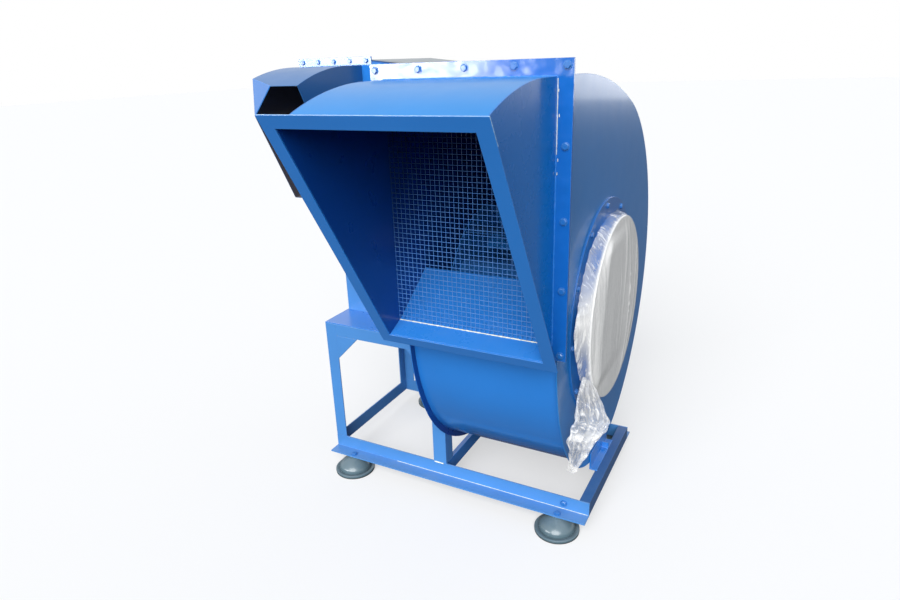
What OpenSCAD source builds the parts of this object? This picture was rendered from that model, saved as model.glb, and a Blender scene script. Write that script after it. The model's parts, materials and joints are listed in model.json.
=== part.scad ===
/* [Base frame] */
// Length of the base frame, left to right
base_w = 1100; // [1060:10:1300]
// Depth of the base frame, front rail face to rear rail face
base_d = 560; // [540:10:700]
// Width of the left bay, up to the right face of the middle posts
bay_w = 529; // [519:1:540]
// Leg of the base frame's angle iron
angle_leg = 56; // [50:1:60]
// Thickness of the base frame's angle iron
angle_t = 5; // [4:0.5:6]
// Lip of the right rail that points inwards
right_lip = 38; // [30:1:40]

/* [Machine feet] */
// Height of a machine foot under the rails
foot_h = 63; // [56:1:80]
// Radius of the foot's rubber base
foot_r = 81; // [74:1:90]
// Radius of the foot's steel dome
dome_r = 69; // [62:1:72]
// Thickness of the foot's rubber base
pad_h = 14; // [10:1:18]
// Distance from the frame's left end to the front left foot
foot_inset = 110; // [90:5:130]
// Distance from the frame's right end to the right feet
foot_inset_right = 105; // [90:5:130]
// Distance from the frame's left end to the rear left foot
foot_inset_rear = 140; // [100:5:160]
// Distance of the foot centres outside the rail faces
foot_setback = 36; // [34:1:40]
// Diameter of the foot studs
stud_d = 12; // [10:1:16]

/* [Pedestal] */
// Height of the pedestal deck above the floor
deck_h = 637; // [600:1:650]
// Thickness of the deck plate
deck_t = 4; // [3:0.5:6]
// Leg of the pedestal posts on the left
post_leg = 50; // [45:1:56]
// Leg of the pedestal beams under the deck
beam_leg = 50; // [40:1:60]
// Leg of the triangular corner gussets
gusset_leg = 100; // [60:5:140]

/* [Scroll casing] */
// Width of the scroll over its side plates
scroll_w = 511; // [500:1:520]
// Thickness of the side plates
plate_t = 3; // [2:0.5:4]
// Thickness of the wrap sheet
wrap_t = 3; // [2:0.5:4]
// Height of the fan axis above the floor
axis_h = 764; // [757:1:775]
// Distance of the fan axis behind the front rail face
axis_back = 275; // [260:5:290]
// Lip of the side plates outside the wrap
lip = 24; // [16:1:30]
// Radius of the volute behind the fan axis
back_r = 685; // [675:1:695]
// Radius of the volute under the fan axis
bottom_r = 549; // [540:1:552]
// Radius of the volute in front of the fan axis
front_r = 730; // [710:5:750]
// Height of the outlet duct's top above the floor
duct_top = 1554; // [1540:1:1570]
// Height of the outlet duct's floor at the flange
duct_floor = 827; // [815:1:840]
// Distance of the outlet flange ahead of the fan axis
outlet_reach = 537; // [525:1:560]
// Radius of the rounded tongue
nose_r = 8; // [6:0.5:10]

/* [Flanges and bolts] */
// Leg of the outlet flange angle
flange_leg = 42; // [38:1:50]
// Thickness of the flanges
flange_t = 4; // [3:0.5:5]
// Shank diameter of the flange bolts
bolt_d = 10; // [8:1:12]

/* [Outlet hood] */
// Length of the straight collar behind the hood's bend
collar_l = 97; // [80:1:120]
// Lean of the hood's mouth from upright
mouth_lean = 30.8; // [26:0.2:34]
// Length of the hood's side walls along the mouth
mouth_l = 780; // [740:5:800]
// Run of the hood's floor ahead of the flange
hood_floor_run = 63; // [50:1:75]
// Drop of the hood's floor ahead of the flange
hood_floor_drop = 26; // [18:1:34]
// Thickness of the hood's sheets
hood_t = 3; // [2:0.5:4]
// Leg of the mouth frame angle
frame_leg = 40; // [36:1:45]
// Part of the mouth frame that stands outside the walls
frame_out = 35; // [30:1:36]
// Pitch of the guard mesh
mesh_pitch = 36; // [34:1:60]
// Thickness of the guard mesh wires
mesh_wire = 3; // [2:0.5:5]

/* [Inlet] */
// Radius of the bolted inlet ring
ring_r = 381; // [378:1:390]
// Thickness of the inlet ring
ring_t = 6; // [5:0.5:10]
// Radius of the inlet spigot
spigot_r = 320; // [300:1:330]
// Length of the inlet spigot outside the side plate
spigot_l = 50; // [40:1:70]
// Wall of the spigot and the inlet cone
spigot_t = 3; // [2:0.5:4]
// Radius of the circle of inlet ring bolts
ring_bolt_r = 362; // [356:1:366]
// Number of inlet ring bolts
ring_bolts_n = 12; // [8:1:16]
// Radius of the inlet cone at the impeller eye
eye_r = 235; // [200:5:250]

/* [Impeller] */
// Radius of the impeller
impeller_r = 335; // [320:5:345]
// Number of impeller blades
blades_n = 10; // [6:1:12]
// Thickness of the blades and discs
blade_t = 4; // [3:0.5:6]
// Sweep of a blade from its root to its tip
blade_sweep = 34; // [0:1:45]
// Blade width at the tip
tip_w = 230; // [200:5:250]
// Gap between the left side plate and the impeller's back disc
disc_gap = 60; // [45:1:80]
// Radius of the impeller hub
hub_r = 68; // [60:1:75]

/* [Shaft and bearings] */
// Radius of the fan shaft
shaft_r = 30; // [25:1:32]
// Radial clearance of running and sliding fits
fit = 0.05; // [0.02:0.01:0.1]
// Height of a bearing's centre above its sole
bearing_c = 70; // [64:1:76]
// Width of a bearing housing along the shaft
bearing_w = 56; // [44:1:60]
// Outer radius of a bearing insert
insert_r = 48; // [42:1:52]

/* [Belt drive] */
// Radius of the fan pulley
fan_pulley_r = 110; // [95:1:112]
// Radius of the motor pulley
motor_pulley_r = 70; // [60:1:80]
// Width of both pulleys
pulley_w = 60; // [50:1:64]
// Number of belts
belts_n = 3; // [2:1:3]
// Height of the motor axis above the floor
motor_h = 1066; // [1040:1:1100]
// Radius of the motor shaft
motor_shaft_r = 19; // [14:1:24]
// Radius of the motor body
motor_r = 112; // [100:1:120]

/* [Drive cabinet] */
// Inset of the cabinet from the left end of the frame
cab_inset = 8; // [4:1:20]
// Width of the cabinet
cab_w = 422; // [400:1:440]
// Setback of the cabinet from the front rail face
cab_setback = 150; // [140:1:155]
// Depth of the cabinet
cab_d = 406; // [390:1:410]
// Height of the cabinet's eaves above the floor
eaves_h = 1582; // [1560:1:1600]
// Rise of the cabinet's roof
roof_rise = 26; // [15:1:40]
// Thickness of the cabinet's sheets
cab_t = 2; // [1.5:0.5:3]

/* [Cowl] */
// Inset of the cowl's left wall from the left end of the frame
cowl_inset = 50; // [45:1:60]
// Width of the cowl over its walls
cowl_w = 225; // [200:1:240]
// Height of the cowl's top above the floor
cowl_top = 1595; // [1590:1:1610]
// Height of the cowl's bottom above the floor
cowl_bottom = 1168; // [1150:1:1250]
// Reach of the cowl's top edge ahead of its flange
cowl_reach = 330; // [300:5:360]
// Straight part of the cowl's top behind its bend
cowl_flat = 80; // [60:5:100]
// Drop of the cowl's top edge at its mouth
cowl_drop = 49; // [40:1:60]
// Lean of the cowl's mouth from upright
cowl_lean = 26.6; // [22:0.2:30]
// Width of the cowl's cut corner at the top edge
corner_cut = 120; // [80:5:140]
// Leg of the cowl flanges at the sides and the bottom
cowl_leg = 38; // [30:1:40]
// Leg of the cowl flanges at the top
cowl_top_leg = 25; // [20:1:30]

/* [Inlet film] */
// Thickness of the film's solid
film_t = 2; // [1.5:0.5:3]
// Depth of the film's skirt over the spigot
film_skirt = 36; // [24:1:40]
// Length of the tail that hangs from the film
tail_l = 300; // [200:5:320]

/* [Hidden] */

// Colours
blue = [0.20, 0.50, 0.82];
deep_blue = [0.11, 0.34, 0.62];
foot_grey = [0.37, 0.45, 0.49];
steel = [0.60, 0.62, 0.64];
cast_grey = [0.35, 0.38, 0.42];
black_rubber = [0.08, 0.08, 0.09];
film_white = [0.86, 0.86, 0.84];

// Overrun of a cut past a face, and the smoothness of round pieces
cut = 5;
seam = 0.1;
film_gap = 0.4;
side_n = 96;

// Places of the base frame; the origin is the centre of the front left foot's sole
x_left = -foot_inset;
x_right = x_left + base_w;
x_bay = x_left + bay_w;
y_front = foot_setback;
y_rear = y_front + base_d;
rail_top = foot_h + angle_leg;
x_foot_right = x_right - foot_inset_right;
x_foot_rear = x_left + foot_inset_rear;
y_foot_rear = y_rear + foot_setback;
feet = [[0, 0], [x_foot_right, 0], [x_foot_rear, y_foot_rear], [x_foot_right, y_foot_rear]];

// Places of the scroll, in the plane across the fan axis
y_axis = y_front + axis_back;
x_scroll = x_bay;
x_inlet = x_scroll + scroll_w;
y_outlet = y_axis - outlet_reach;
top_angle = 69.9;
low_angle = 292.4;
front_angle = 210;
back_offset_share = [0.0455, 0.0512];
c_back = [y_axis, axis_h] + back_r * back_offset_share;
c_bottom = c_back + (back_r - bottom_r) * along(low_angle);
c_front = c_bottom + (bottom_r - front_r) * along(front_angle);
tongue_share = [0.678, 0.337];
tongue = [y_axis - outlet_reach * tongue_share[0], axis_h + outlet_reach * tongue_share[1]];

// A unit vector in the plane across the fan axis
function along(a) = [cos(a), sin(a)];
// Points of an arc, ends included
function arc(c, r, a0, a1, n) = [for (i = [0 : n]) c + r * along(a0 + (a1 - a0) * i / n)];
// Start of the volute's top arc for a given inset, and the arc's radius
function top_start(inset) = c_back + (back_r - inset) * along(top_angle);
function top_r(inset) = (duct_top - top_start(inset)[1]) / (1 - sin(top_angle));
function top_c(inset) = top_start(inset) - top_r(inset) * along(top_angle);
// The volute from its front point round to the outlet, inset by a lip and by a sheet's depth
function volute(inset, depth) = concat(
  arc(c_front, front_r - inset - depth, 180, front_angle, 8),
  arc(c_bottom, bottom_r - inset - depth, front_angle, low_angle, 22),
  arc(c_back, back_r - inset - depth, low_angle, top_angle + 360, 40),
  arc(top_c(inset), top_r(inset) - depth, top_angle, 90, 8),
  [[y_outlet, duct_top - depth]]);
// The short arc that joins the tongue to the volute's front point
wrap_front = c_front + [lip - front_r, 0];
nose_run = tongue - wrap_front;
nose_arc_r = (pow(nose_run[0], 2) + pow(nose_run[1], 2)) / (2 * nose_run[0]);
nose_c = wrap_front + [nose_arc_r, 0];
nose_angle = atan2(tongue[1] - nose_c[1], tongue[0] - nose_c[0]);
function wrap_side(depth) = concat(
  arc(nose_c, nose_arc_r - depth, nose_angle, 180, 10), volute(lip, depth));
function reversed(list) = [for (i = [len(list) - 1 : -1 : 0]) list[i]];

// Places of the outlet hood
y_collar = y_outlet - collar_l;
hood_low = [y_outlet - hood_floor_run, duct_floor - hood_floor_drop];
hood_heel = [y_outlet - flange_t, duct_floor];
up_mouth = [-sin(mouth_lean), cos(mouth_lean)];
hood_high = hood_low + mouth_l * up_mouth;
hood_bend = [y_collar, duct_top];
bend_run = hood_bend[0] - hood_high[0];
bend_drop = hood_bend[1] - hood_high[1];
bend_r = (pow(bend_run, 2) + pow(bend_drop, 2)) / (2 * bend_drop);
bend_angle = asin(bend_run / bend_r);
// An inner edge turns a little less far, so that it too ends in the plane of the mouth
function hood_trim(depth) = asin(depth * tan(mouth_lean - bend_angle) / (bend_r - depth));
function hood_top(depth) = concat([[y_outlet, duct_top - depth]],
  arc(hood_bend - [0, bend_r], bend_r - depth, 90, 90 + bend_angle - hood_trim(depth), 14));

// Places of the impeller and the inlet cone along the axis
x_disc = x_scroll + plate_t + disc_gap;
x_tip = x_disc + blade_t + tip_w;
eye_w_share = 1.3;
eye_w = tip_w * eye_w_share;
x_eye = x_disc + blade_t + eye_w;
eye_gap = 8;
collar_share = 0.08;
shroud_eye_r = eye_r + eye_gap;
blade_root_r = shroud_eye_r * 0.68;
hub_l = hub_r * 1.4;
x_hub = x_disc - hub_r * 0.4;

// Places of the bearings, the pulleys and the motor
x_cab = x_left + cab_inset;
x_cab_r = x_cab + cab_w;
y_cab = y_front + cab_setback;
y_cab_b = y_cab + cab_d;
pulley_gap = 45;
x_pulley = x_cab + pulley_gap;
bearing_places_share = [0.40, 0.87];
bearings_x = [for (s = bearing_places_share) x_cab + cab_w * s];
stand_h = axis_h - bearing_c - deck_h;
stand_w = bearing_w * 1.25;
bearing_l = bearing_c * 3.3;
y_motor = y_axis + motor_pulley_r;
shelf_t = 6;
motor_foot_h = 20;
shelf_top = motor_h - motor_r - motor_foot_h;
motor_l = 215;
motor_gap = 20;
x_motor = x_pulley + pulley_w + motor_gap;
belt_t = 9;
groove = 10;
belt_gap = 0.5;
film_r = spigot_r + film_gap;
x_film = x_inlet + spigot_l;

// Extrudes a profile drawn in the side view from x to x + w
module side(x, w) {
  translate([x, 0, 0]) rotate([90, 0, 90]) linear_extrude(w) children();
}
// Puts a round piece on the fan axis, starting at x
module on_axis(x) {
  translate([x, y_axis, axis_h]) rotate([0, 90, 0]) children();
}
// A hollow cylinder
module tube(r, inner_r, l) {
  difference() {
    cylinder(r = r, h = l, $fn = side_n);
    translate([0, 0, -cut]) cylinder(r = inner_r, h = l + 2 * cut, $fn = side_n);
  }
}
// A hexagon bolt with its head up at z = 0 and its nut under the grip
module bolt(d, grip) {
  head_h = d * 0.65;
  cylinder(r = d * 0.95, h = head_h, $fn = 6);
  translate([0, 0, -grip]) cylinder(d = d, h = grip, $fn = 24);
  translate([0, 0, -grip - d * 0.8]) cylinder(r = d * 0.95, h = d * 0.8, $fn = 6);
}
// The hole that such a bolt fills
module bolt_hole(d, grip) {
  translate([0, 0, -grip - cut]) cylinder(d = d + 2 * fit, h = grip + 2 * cut, $fn = 24);
}

rail_bolt_place = [x_foot_right + stud_d, y_front, foot_h + angle_leg / 2];
module foot_pads() {
  color(black_rubber) for (f = feet) translate([f[0], f[1], 0])
    rotate_extrude($fn = side_n) polygon([[0, 0], [foot_r - pad_h / 4, 0], [foot_r, pad_h / 4],
      [foot_r, pad_h * 0.7], [foot_r - pad_h * 0.3, pad_h], [0, pad_h]]);
}
module foot_domes() {
  dome_h = foot_h - pad_h;
  shape_shares = [[0.93, 0], [0.93, 0.07], [1, 0.1], [1, 0.22], [0.96, 0.42], [0.86, 0.62],
    [0.7, 0.78], [0.5, 0.88], [0.34, 0.92], [0.34, 1]];
  hole = stud_d / 2 + fit;
  color(foot_grey) for (f = feet) translate([f[0], f[1], pad_h])
    rotate_extrude($fn = side_n) polygon(concat([[hole, dome_h], [hole, 0]],
      [for (s = shape_shares) [s[0] * dome_r, s[1] * dome_h]]));
}
module frame_bolts() {
  stud_l = foot_h - pad_h + angle_t;
  color(deep_blue) {
    for (f = feet) translate([f[0], f[1], foot_h + angle_t]) {
      cylinder(r = stud_d * 0.95, h = stud_d * 0.8, $fn = 6);
      translate([0, 0, -stud_l]) cylinder(d = stud_d, h = stud_l, $fn = 24);
    }
    translate(rail_bolt_place) rotate([90, 0, 0]) bolt(stud_d, angle_t);
  }
}

// An angle iron drawn in its end view, with its corner at the origin
module angle_end(a, b, t) {
  polygon([[0, 0], [a, 0], [a, t], [t, t], [t, b], [0, b]]);
}
module foot_holes(which) {
  for (i = which) translate([feet[i][0], feet[i][1], foot_h + angle_t]) bolt_hole(stud_d, angle_t);
}
module front_rail() {
  color(blue) difference() {
    translate([0, y_front + angle_t, foot_h]) mirror([0, 1, 0])
      side(x_left, base_w) angle_end(angle_leg, angle_leg, angle_t);
    foot_holes([0, 1]);
    translate(rail_bolt_place) rotate([90, 0, 0]) bolt_hole(stud_d, angle_t);
  }
}
module rear_rail() {
  color(blue) difference() {
    translate([0, y_rear - angle_t, foot_h])
      side(x_left, base_w) angle_end(angle_leg, angle_leg, angle_t);
    foot_holes([2, 3]);
  }
}
rail_run = base_d - 2 * angle_t;
module left_rail() {
  color(blue) translate([x_left, y_front + angle_t, foot_h]) cube([angle_t, rail_run, angle_leg]);
}
module right_rail() {
  color(blue) translate([x_right, y_front + angle_t + rail_run, rail_top]) rotate([90, 0, 0])
    linear_extrude(rail_run) rotate(180) angle_end(right_lip, angle_leg, angle_t);
}
module mid_rail() {
  color(blue) translate([x_bay, y_front + angle_t + rail_run, foot_h]) rotate([90, 0, 0])
    linear_extrude(rail_run) mirror([1, 0]) angle_end(angle_leg, angle_leg, angle_t);
}

post_top = deck_h - deck_t;
post_h = post_top - rail_top;
// An upright angle with its outer corner at the origin, legs along +x and +y
module post(leg) {
  linear_extrude(post_h) angle_end(leg, leg, angle_t);
}
module left_posts() {
  color(blue) {
    translate([x_left, y_front, rail_top]) post(post_leg);
    translate([x_left, y_rear, rail_top]) mirror([0, 1, 0]) post(post_leg);
  }
}
module mid_posts() {
  color(blue) {
    translate([x_bay, y_front, rail_top]) mirror([1, 0, 0]) post(angle_leg);
    translate([x_bay, y_rear, rail_top]) mirror([1, 0, 0]) mirror([0, 1, 0]) post(angle_leg);
  }
}
beam_l = bay_w - post_leg - angle_leg;
module front_beam() {
  color(blue) translate([0, y_front, post_top]) mirror([0, 0, 1])
    side(x_left + post_leg, beam_l) angle_end(beam_leg, beam_leg, angle_t);
}
module rear_beam() {
  color(blue) translate([0, y_rear, post_top]) mirror([0, 0, 1]) mirror([0, 1, 0])
    side(x_left + post_leg, beam_l) angle_end(beam_leg, beam_leg, angle_t);
}
side_beam_leg = angle_leg - angle_t;
module side_beams() {
  color(blue) {
    translate([x_left, y_rear - post_leg, post_top]) rotate([90, 0, 0]) mirror([0, 1, 0])
      linear_extrude(base_d - 2 * post_leg) angle_end(post_leg, beam_leg, angle_t);
    translate([x_bay, y_rear - angle_leg, post_top]) rotate([90, 0, 0]) rotate(180)
      linear_extrude(base_d - 2 * angle_leg) angle_end(side_beam_leg, beam_leg, angle_t);
  }
}
module pedestal_gussets() {
  x_inner = [x_left + post_leg, x_bay - angle_leg];
  z_low = post_top - beam_leg;
  color(blue) for (y = [y_front, y_rear - angle_t], i = [0, 1])
    translate([x_inner[i], y + angle_t, z_low]) rotate([90, 0, 0]) linear_extrude(angle_t)
      mirror([i, 0]) polygon([[0, 0], [gusset_leg, 0], [0, -gusset_leg]]);
}
module pedestal_deck() {
  color(blue) translate([x_left, y_front, post_top]) cube([bay_w, base_d, deck_t]);
}

// The outline that both side plates share
module plate_outline() {
  front = c_front[0] - front_r;
  polygon(concat(volute(0, 0), [[y_outlet, duct_floor], [front, duct_floor]]));
}
module scroll_left_plate() {
  hole_r = shaft_r * 1.4;
  color(blue) difference() {
    side(x_scroll, plate_t) plate_outline();
    on_axis(x_scroll - cut) cylinder(r = hole_r, h = plate_t + 2 * cut, $fn = side_n);
  }
}
module scroll_right_plate() {
  color(deep_blue) difference() {
    side(x_inlet - plate_t, plate_t) plate_outline();
    on_axis(x_inlet - plate_t - cut)
      cylinder(r = spigot_r + seam, h = plate_t + 2 * cut, $fn = side_n);
  }
}
inner_w = scroll_w - 2 * plate_t;
module nose(extra) {
  translate([x_scroll + plate_t - extra, tongue[0], tongue[1]]) rotate([0, 90, 0])
    cylinder(r = nose_r, h = inner_w + 2 * extra, $fn = 48);
}
module scroll_wrap() {
  color(blue) difference() {
    side(x_scroll + plate_t, inner_w)
      polygon(concat(wrap_side(0), reversed(wrap_side(wrap_t))));
    nose(cut);
  }
}
module outlet_floor() {
  color(blue) {
    side(x_scroll + plate_t, inner_w) polygon([[y_outlet, duct_floor],
      [y_outlet, duct_floor + wrap_t], [tongue[0], tongue[1] + nose_r],
      [tongue[0], tongue[1] + nose_r - wrap_t]]);
    nose(0);
  }
}

// A flat rectangular ring round the duct, standing across y, of the given leg
module duct_ring(y, t, leg) {
  translate([0, y + t, 0]) rotate([90, 0, 0]) linear_extrude(t) difference() {
    translate([x_scroll - leg, duct_floor - leg])
      square([scroll_w + 2 * leg, duct_top - duct_floor + 2 * leg]);
    translate([x_scroll, duct_floor]) square([scroll_w, duct_top - duct_floor]);
  }
}
flange_mid = flange_leg * 0.6;
duct_l = duct_top - duct_floor;
bolt_corners = [[x_scroll - flange_mid, duct_floor - flange_mid],
  [x_inlet + flange_mid, duct_top + flange_mid]];
// Bolt places round the flange, as x and z: five along the top and bottom, five up each side
flange_places = concat(
  [for (i = [0 : 4], z = [bolt_corners[0][1], bolt_corners[1][1]])
    [bolt_corners[0][0] + (bolt_corners[1][0] - bolt_corners[0][0]) * i / 4, z]],
  [for (i = [1 : 3], x = [bolt_corners[0][0], bolt_corners[1][0]])
    [x, bolt_corners[0][1] + (bolt_corners[1][1] - bolt_corners[0][1]) * i / 4]]);
module flange_holes() {
  for (p = flange_places) translate([p[0], y_outlet - flange_t, p[1]])
    rotate([90, 0, 0]) bolt_hole(bolt_d, 2 * flange_t);
}
module outlet_flange() {
  color(blue) difference() {
    union() {
      duct_ring(y_outlet, flange_t, flange_leg);
      duct_ring(y_outlet + flange_t, flange_leg - flange_t, flange_t);
    }
    flange_holes();
  }
}
module hood_flange() {
  color(blue) difference() {
    duct_ring(y_outlet - flange_t, flange_t, flange_leg);
    flange_holes();
  }
}
module flange_bolts() {
  color(deep_blue) {
    for (p = flange_places) translate([p[0], y_outlet - flange_t, p[1]])
      rotate([90, 0, 0]) bolt(bolt_d, 2 * flange_t);
    for (p = cowl_places) translate([p[0], y_front - cowl_flange_t, p[1]])
      rotate([90, 0, 0]) bolt(cowl_bolt_d, 2 * cowl_flange_t);
  }
}
// A bracket on the right rail that carries the scroll's right side
support_l = 230;
support_w = 30;
support_h = 62;
module scroll_support() {
  y0 = y_axis - support_l * 0.33;
  color(blue) {
    translate([x_inlet, y0, rail_top]) cube([support_w, support_l, angle_t]);
    translate([x_inlet, y0, rail_top + angle_t]) cube([angle_t, support_l, support_h]);
    translate([x_inlet + angle_t, y0 + support_l * 0.7, rail_top + angle_t])
      cube([support_w - angle_t, angle_t, support_w - angle_t]);
  }
}

module hood_side_walls() {
  wall = concat(hood_top(0), [hood_low, hood_heel, [y_outlet, duct_floor]]);
  color(blue) for (x = [x_scroll, x_inlet - hood_t]) side(x, hood_t) polygon(wall);
}
hood_inner_w = scroll_w - 2 * hood_t;
module hood_top_sheet() {
  color(blue) side(x_scroll + hood_t, hood_inner_w)
    polygon(concat(hood_top(0), reversed(hood_top(hood_t))));
}
module hood_floor() {
  rise = [0, hood_t];
  color(blue) side(x_scroll + hood_t, hood_inner_w)
    polygon([hood_low, hood_heel, [y_outlet, duct_floor], [y_outlet, duct_floor] + rise,
      hood_heel + rise, hood_low + rise]);
}
// The mouth frame lies in the leaning plane of the hood's mouth
module in_mouth() {
  translate([0, hood_low[0], hood_low[1]]) rotate([mouth_lean, 0, 0]) children();
}
frame_t = flange_t;
module mouth_frame() {
  leg_back = frame_leg - frame_t;
  outer_w = scroll_w + 2 * frame_out;
  color(blue) in_mouth() {
    rotate([90, 0, 0]) linear_extrude(frame_t) difference() {
      translate([x_scroll - frame_out, -frame_out]) square([outer_w, mouth_l + 2 * frame_out]);
      translate([x_scroll + hood_t, hood_t]) square([hood_inner_w, mouth_l - 2 * hood_t]);
    }
    for (x = [x_scroll - frame_t, x_inlet])
      translate([x, 0, 0]) cube([frame_t, leg_back, mouth_l]);
  }
}
// A net in the flange plane: upright wires behind, level wires in front of them
module guard_mesh() {
  net_w = inner_w;
  net_h = duct_l - 2 * wrap_t;
  cols = floor(net_w / mesh_pitch);
  rows = floor(net_h / mesh_pitch);
  px = net_w / cols;
  pz = net_h / rows;
  color(blue) translate([x_scroll + plate_t, y_outlet - mesh_wire, duct_floor + wrap_t]) {
    for (i = [0 : cols - 1]) translate([px * (i + 0.5) - mesh_wire / 2, 0, 0])
      cube([mesh_wire, mesh_wire, net_h]);
    for (j = [0 : rows - 1]) translate([0, -mesh_wire - seam, pz * (j + 0.5) - mesh_wire / 2])
      cube([net_w, mesh_wire, mesh_wire]);
  }
}

module ring_places() {
  first_angle = 93;
  for (i = [0 : ring_bolts_n - 1]) rotate([0, 0, first_angle + i * 360 / ring_bolts_n])
    translate([0, ring_bolt_r, ring_t]) children();
}
module inlet_ring() {
  color(deep_blue) on_axis(x_inlet) difference() {
    tube(ring_r, spigot_r + seam, ring_t);
    ring_places() bolt_hole(bolt_d, ring_t);
  }
}
module ring_bolts() {
  color(deep_blue) on_axis(x_inlet) ring_places() {
    cylinder(r = bolt_d * 0.95, h = bolt_d * 0.65, $fn = 6);
    translate([0, 0, -ring_t]) cylinder(d = bolt_d, h = ring_t, $fn = 24);
  }
}
module inlet_spigot() {
  color(deep_blue) on_axis(x_inlet - plate_t) tube(spigot_r, spigot_r - spigot_t, spigot_l + plate_t);
}
x_cone_end = x_eye + eye_gap;
module inlet_cone() {
  cone_l = x_inlet - plate_t - x_cone_end;
  flare_share = [[0, 0], [0.35, 0.06], [0.62, 0.22], [0.82, 0.46], [0.94, 0.74], [1, 1]];
  drop = spigot_r - eye_r;
  color(deep_blue) on_axis(x_cone_end) rotate_extrude($fn = side_n) polygon(concat(
    [for (s = flare_share) [eye_r + drop * s[1], cone_l * s[0]]],
    [for (s = reversed(flare_share)) [eye_r + drop * s[1] - spigot_t, cone_l * s[0]]]));
}
module shaft_seal() {
  seal_r = shaft_r * 2.4;
  seal_t = 10;
  color(steel) on_axis(x_scroll - seal_t) tube(seal_r, shaft_r + fit, seal_t);
}

module bearing_stands() {
  color(blue) for (x = bearings_x) translate([x - stand_w / 2, y_axis - bearing_l / 2, deck_h])
    rotate([90, 0, 90]) linear_extrude(stand_w) difference() {
      square([bearing_l, stand_h]);
      translate([angle_t, angle_t]) square([bearing_l - 2 * angle_t, stand_h - 2 * angle_t]);
    }
}
housing_r = insert_r * 1.3;
sole_t = bearing_c * 0.3;
bearing_bolt_y = bearing_l * 0.38;
bearing_bolt_d = 14;
module bearing_housings() {
  color(cast_grey) for (x = bearings_x) difference() {
    union() {
      translate([x - bearing_w / 2, y_axis - bearing_l / 2, deck_h + stand_h])
        cube([bearing_w, bearing_l, sole_t]);
      translate([x - bearing_w / 2, y_axis - housing_r, deck_h + stand_h])
        cube([bearing_w, 2 * housing_r, bearing_c]);
      on_axis(x - bearing_w / 2) cylinder(r = housing_r, h = bearing_w, $fn = side_n);
    }
    on_axis(x - bearing_w / 2 - cut)
      cylinder(r = insert_r + fit, h = bearing_w + 2 * cut, $fn = side_n);
    for (s = [-1, 1])
      translate([x, y_axis + s * bearing_bolt_y, deck_h + stand_h + sole_t])
        bolt_hole(bearing_bolt_d, sole_t);
  }
}
module bearing_inserts() {
  color(steel) for (x = bearings_x)
    on_axis(x - bearing_w / 2) tube(insert_r, shaft_r + fit, bearing_w);
}
module bearing_bolts() {
  color(steel) for (x = bearings_x, s = [-1, 1])
    translate([x, y_axis + s * bearing_bolt_y, deck_h + stand_h + sole_t]) {
      cylinder(r = bearing_bolt_d * 0.95, h = bearing_bolt_d * 0.65, $fn = 6);
      translate([0, 0, -sole_t]) cylinder(d = bearing_bolt_d, h = sole_t, $fn = 24);
    }
}

// The cabinet's gable, as x and z
x_ridge = x_cab + cab_w / 2;
ridge_h = eaves_h + roof_rise;
roof_over = 6;
module gable() {
  polygon([[x_cab, deck_h], [x_cab_r, deck_h], [x_cab_r, eaves_h], [x_ridge, ridge_h],
    [x_cab, eaves_h]]);
}
module cabinet_front() {
  color(blue) difference() {
    translate([0, y_cab + cab_t, 0]) rotate([90, 0, 0]) linear_extrude(cab_t) gable();
    translate([x_cowl + cowl_t, y_cab - cut, cowl_bottom + cowl_t])
      cube([cowl_w - 2 * cowl_t, cab_t + 2 * cut, neck_top - cowl_bottom - 2 * cowl_t]);
  }
}
module cabinet_back() {
  color(blue) translate([0, y_cab_b, 0]) rotate([90, 0, 0]) linear_extrude(cab_t) gable();
}
module cabinet_sides() {
  wall_l = cab_d - 2 * cab_t;
  wall_h = eaves_h - deck_h;
  color(blue) {
    translate([x_cab, y_cab + cab_t, deck_h]) cube([cab_t, wall_l, wall_h]);
    difference() {
      translate([x_cab_r - cab_t, y_cab + cab_t, deck_h]) cube([cab_t, wall_l, wall_h]);
      on_axis(x_cab_r - cab_t - cut)
        cylinder(r = shaft_r * 1.4, h = cab_t + 2 * cut, $fn = side_n);
    }
  }
}
module cabinet_roof() {
  color(steel) translate([0, y_cab_b + roof_over, 0]) rotate([90, 0, 0])
    linear_extrude(cab_d + 2 * roof_over)
      polygon([[x_cab - roof_over, eaves_h], [x_cab, eaves_h], [x_ridge, ridge_h],
        [x_cab_r, eaves_h], [x_cab_r + roof_over, eaves_h], [x_cab_r + roof_over, eaves_h + cab_t],
        [x_ridge, ridge_h + cab_t * 1.5], [x_cab - roof_over, eaves_h + cab_t]]);
}

// Places of the cowl
x_cowl = x_left + cowl_inset;
cowl_t = 2;
cowl_flange_t = 3;
cowl_bolt_d = 8;
neck_top = eaves_h - 12;
cowl_h = cowl_top - cowl_bottom;
cowl_run = cowl_reach - cowl_flat;
cowl_bend_r = (pow(cowl_run, 2) + pow(cowl_drop, 2)) / (2 * cowl_drop);
cowl_bend_angle = asin(cowl_run / cowl_bend_r);
y_cowl_mouth = y_front - cowl_flange_t - cowl_reach;
z_cowl_mouth = cowl_top - cowl_drop;
cowl_low_y = y_cowl_mouth + (z_cowl_mouth - cowl_bottom) * tan(cowl_lean);
function cowl_arc(depth) = arc([y_front - cowl_flange_t - cowl_flat, cowl_top - cowl_bend_r],
  cowl_bend_r - depth, 90, 90 + cowl_bend_angle, 12);
module cowl_profile() {
  polygon(concat([[y_front - cowl_flange_t, cowl_top]], cowl_arc(0),
    [[cowl_low_y, cowl_bottom], [y_front - cowl_flange_t, cowl_bottom]]));
}
// The cowl's hollow, open at its flange and at its mouth
module cowl_hollow() {
  past = cowl_reach;
  polygon(concat([[y_front + cut, cowl_top - cowl_t]], cowl_arc(cowl_t),
    [[y_cowl_mouth - past, z_cowl_mouth - cowl_t - past / 3],
      [y_cowl_mouth - past, cowl_bottom + cowl_t], [y_front + cut, cowl_bottom + cowl_t]]));
}
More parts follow.
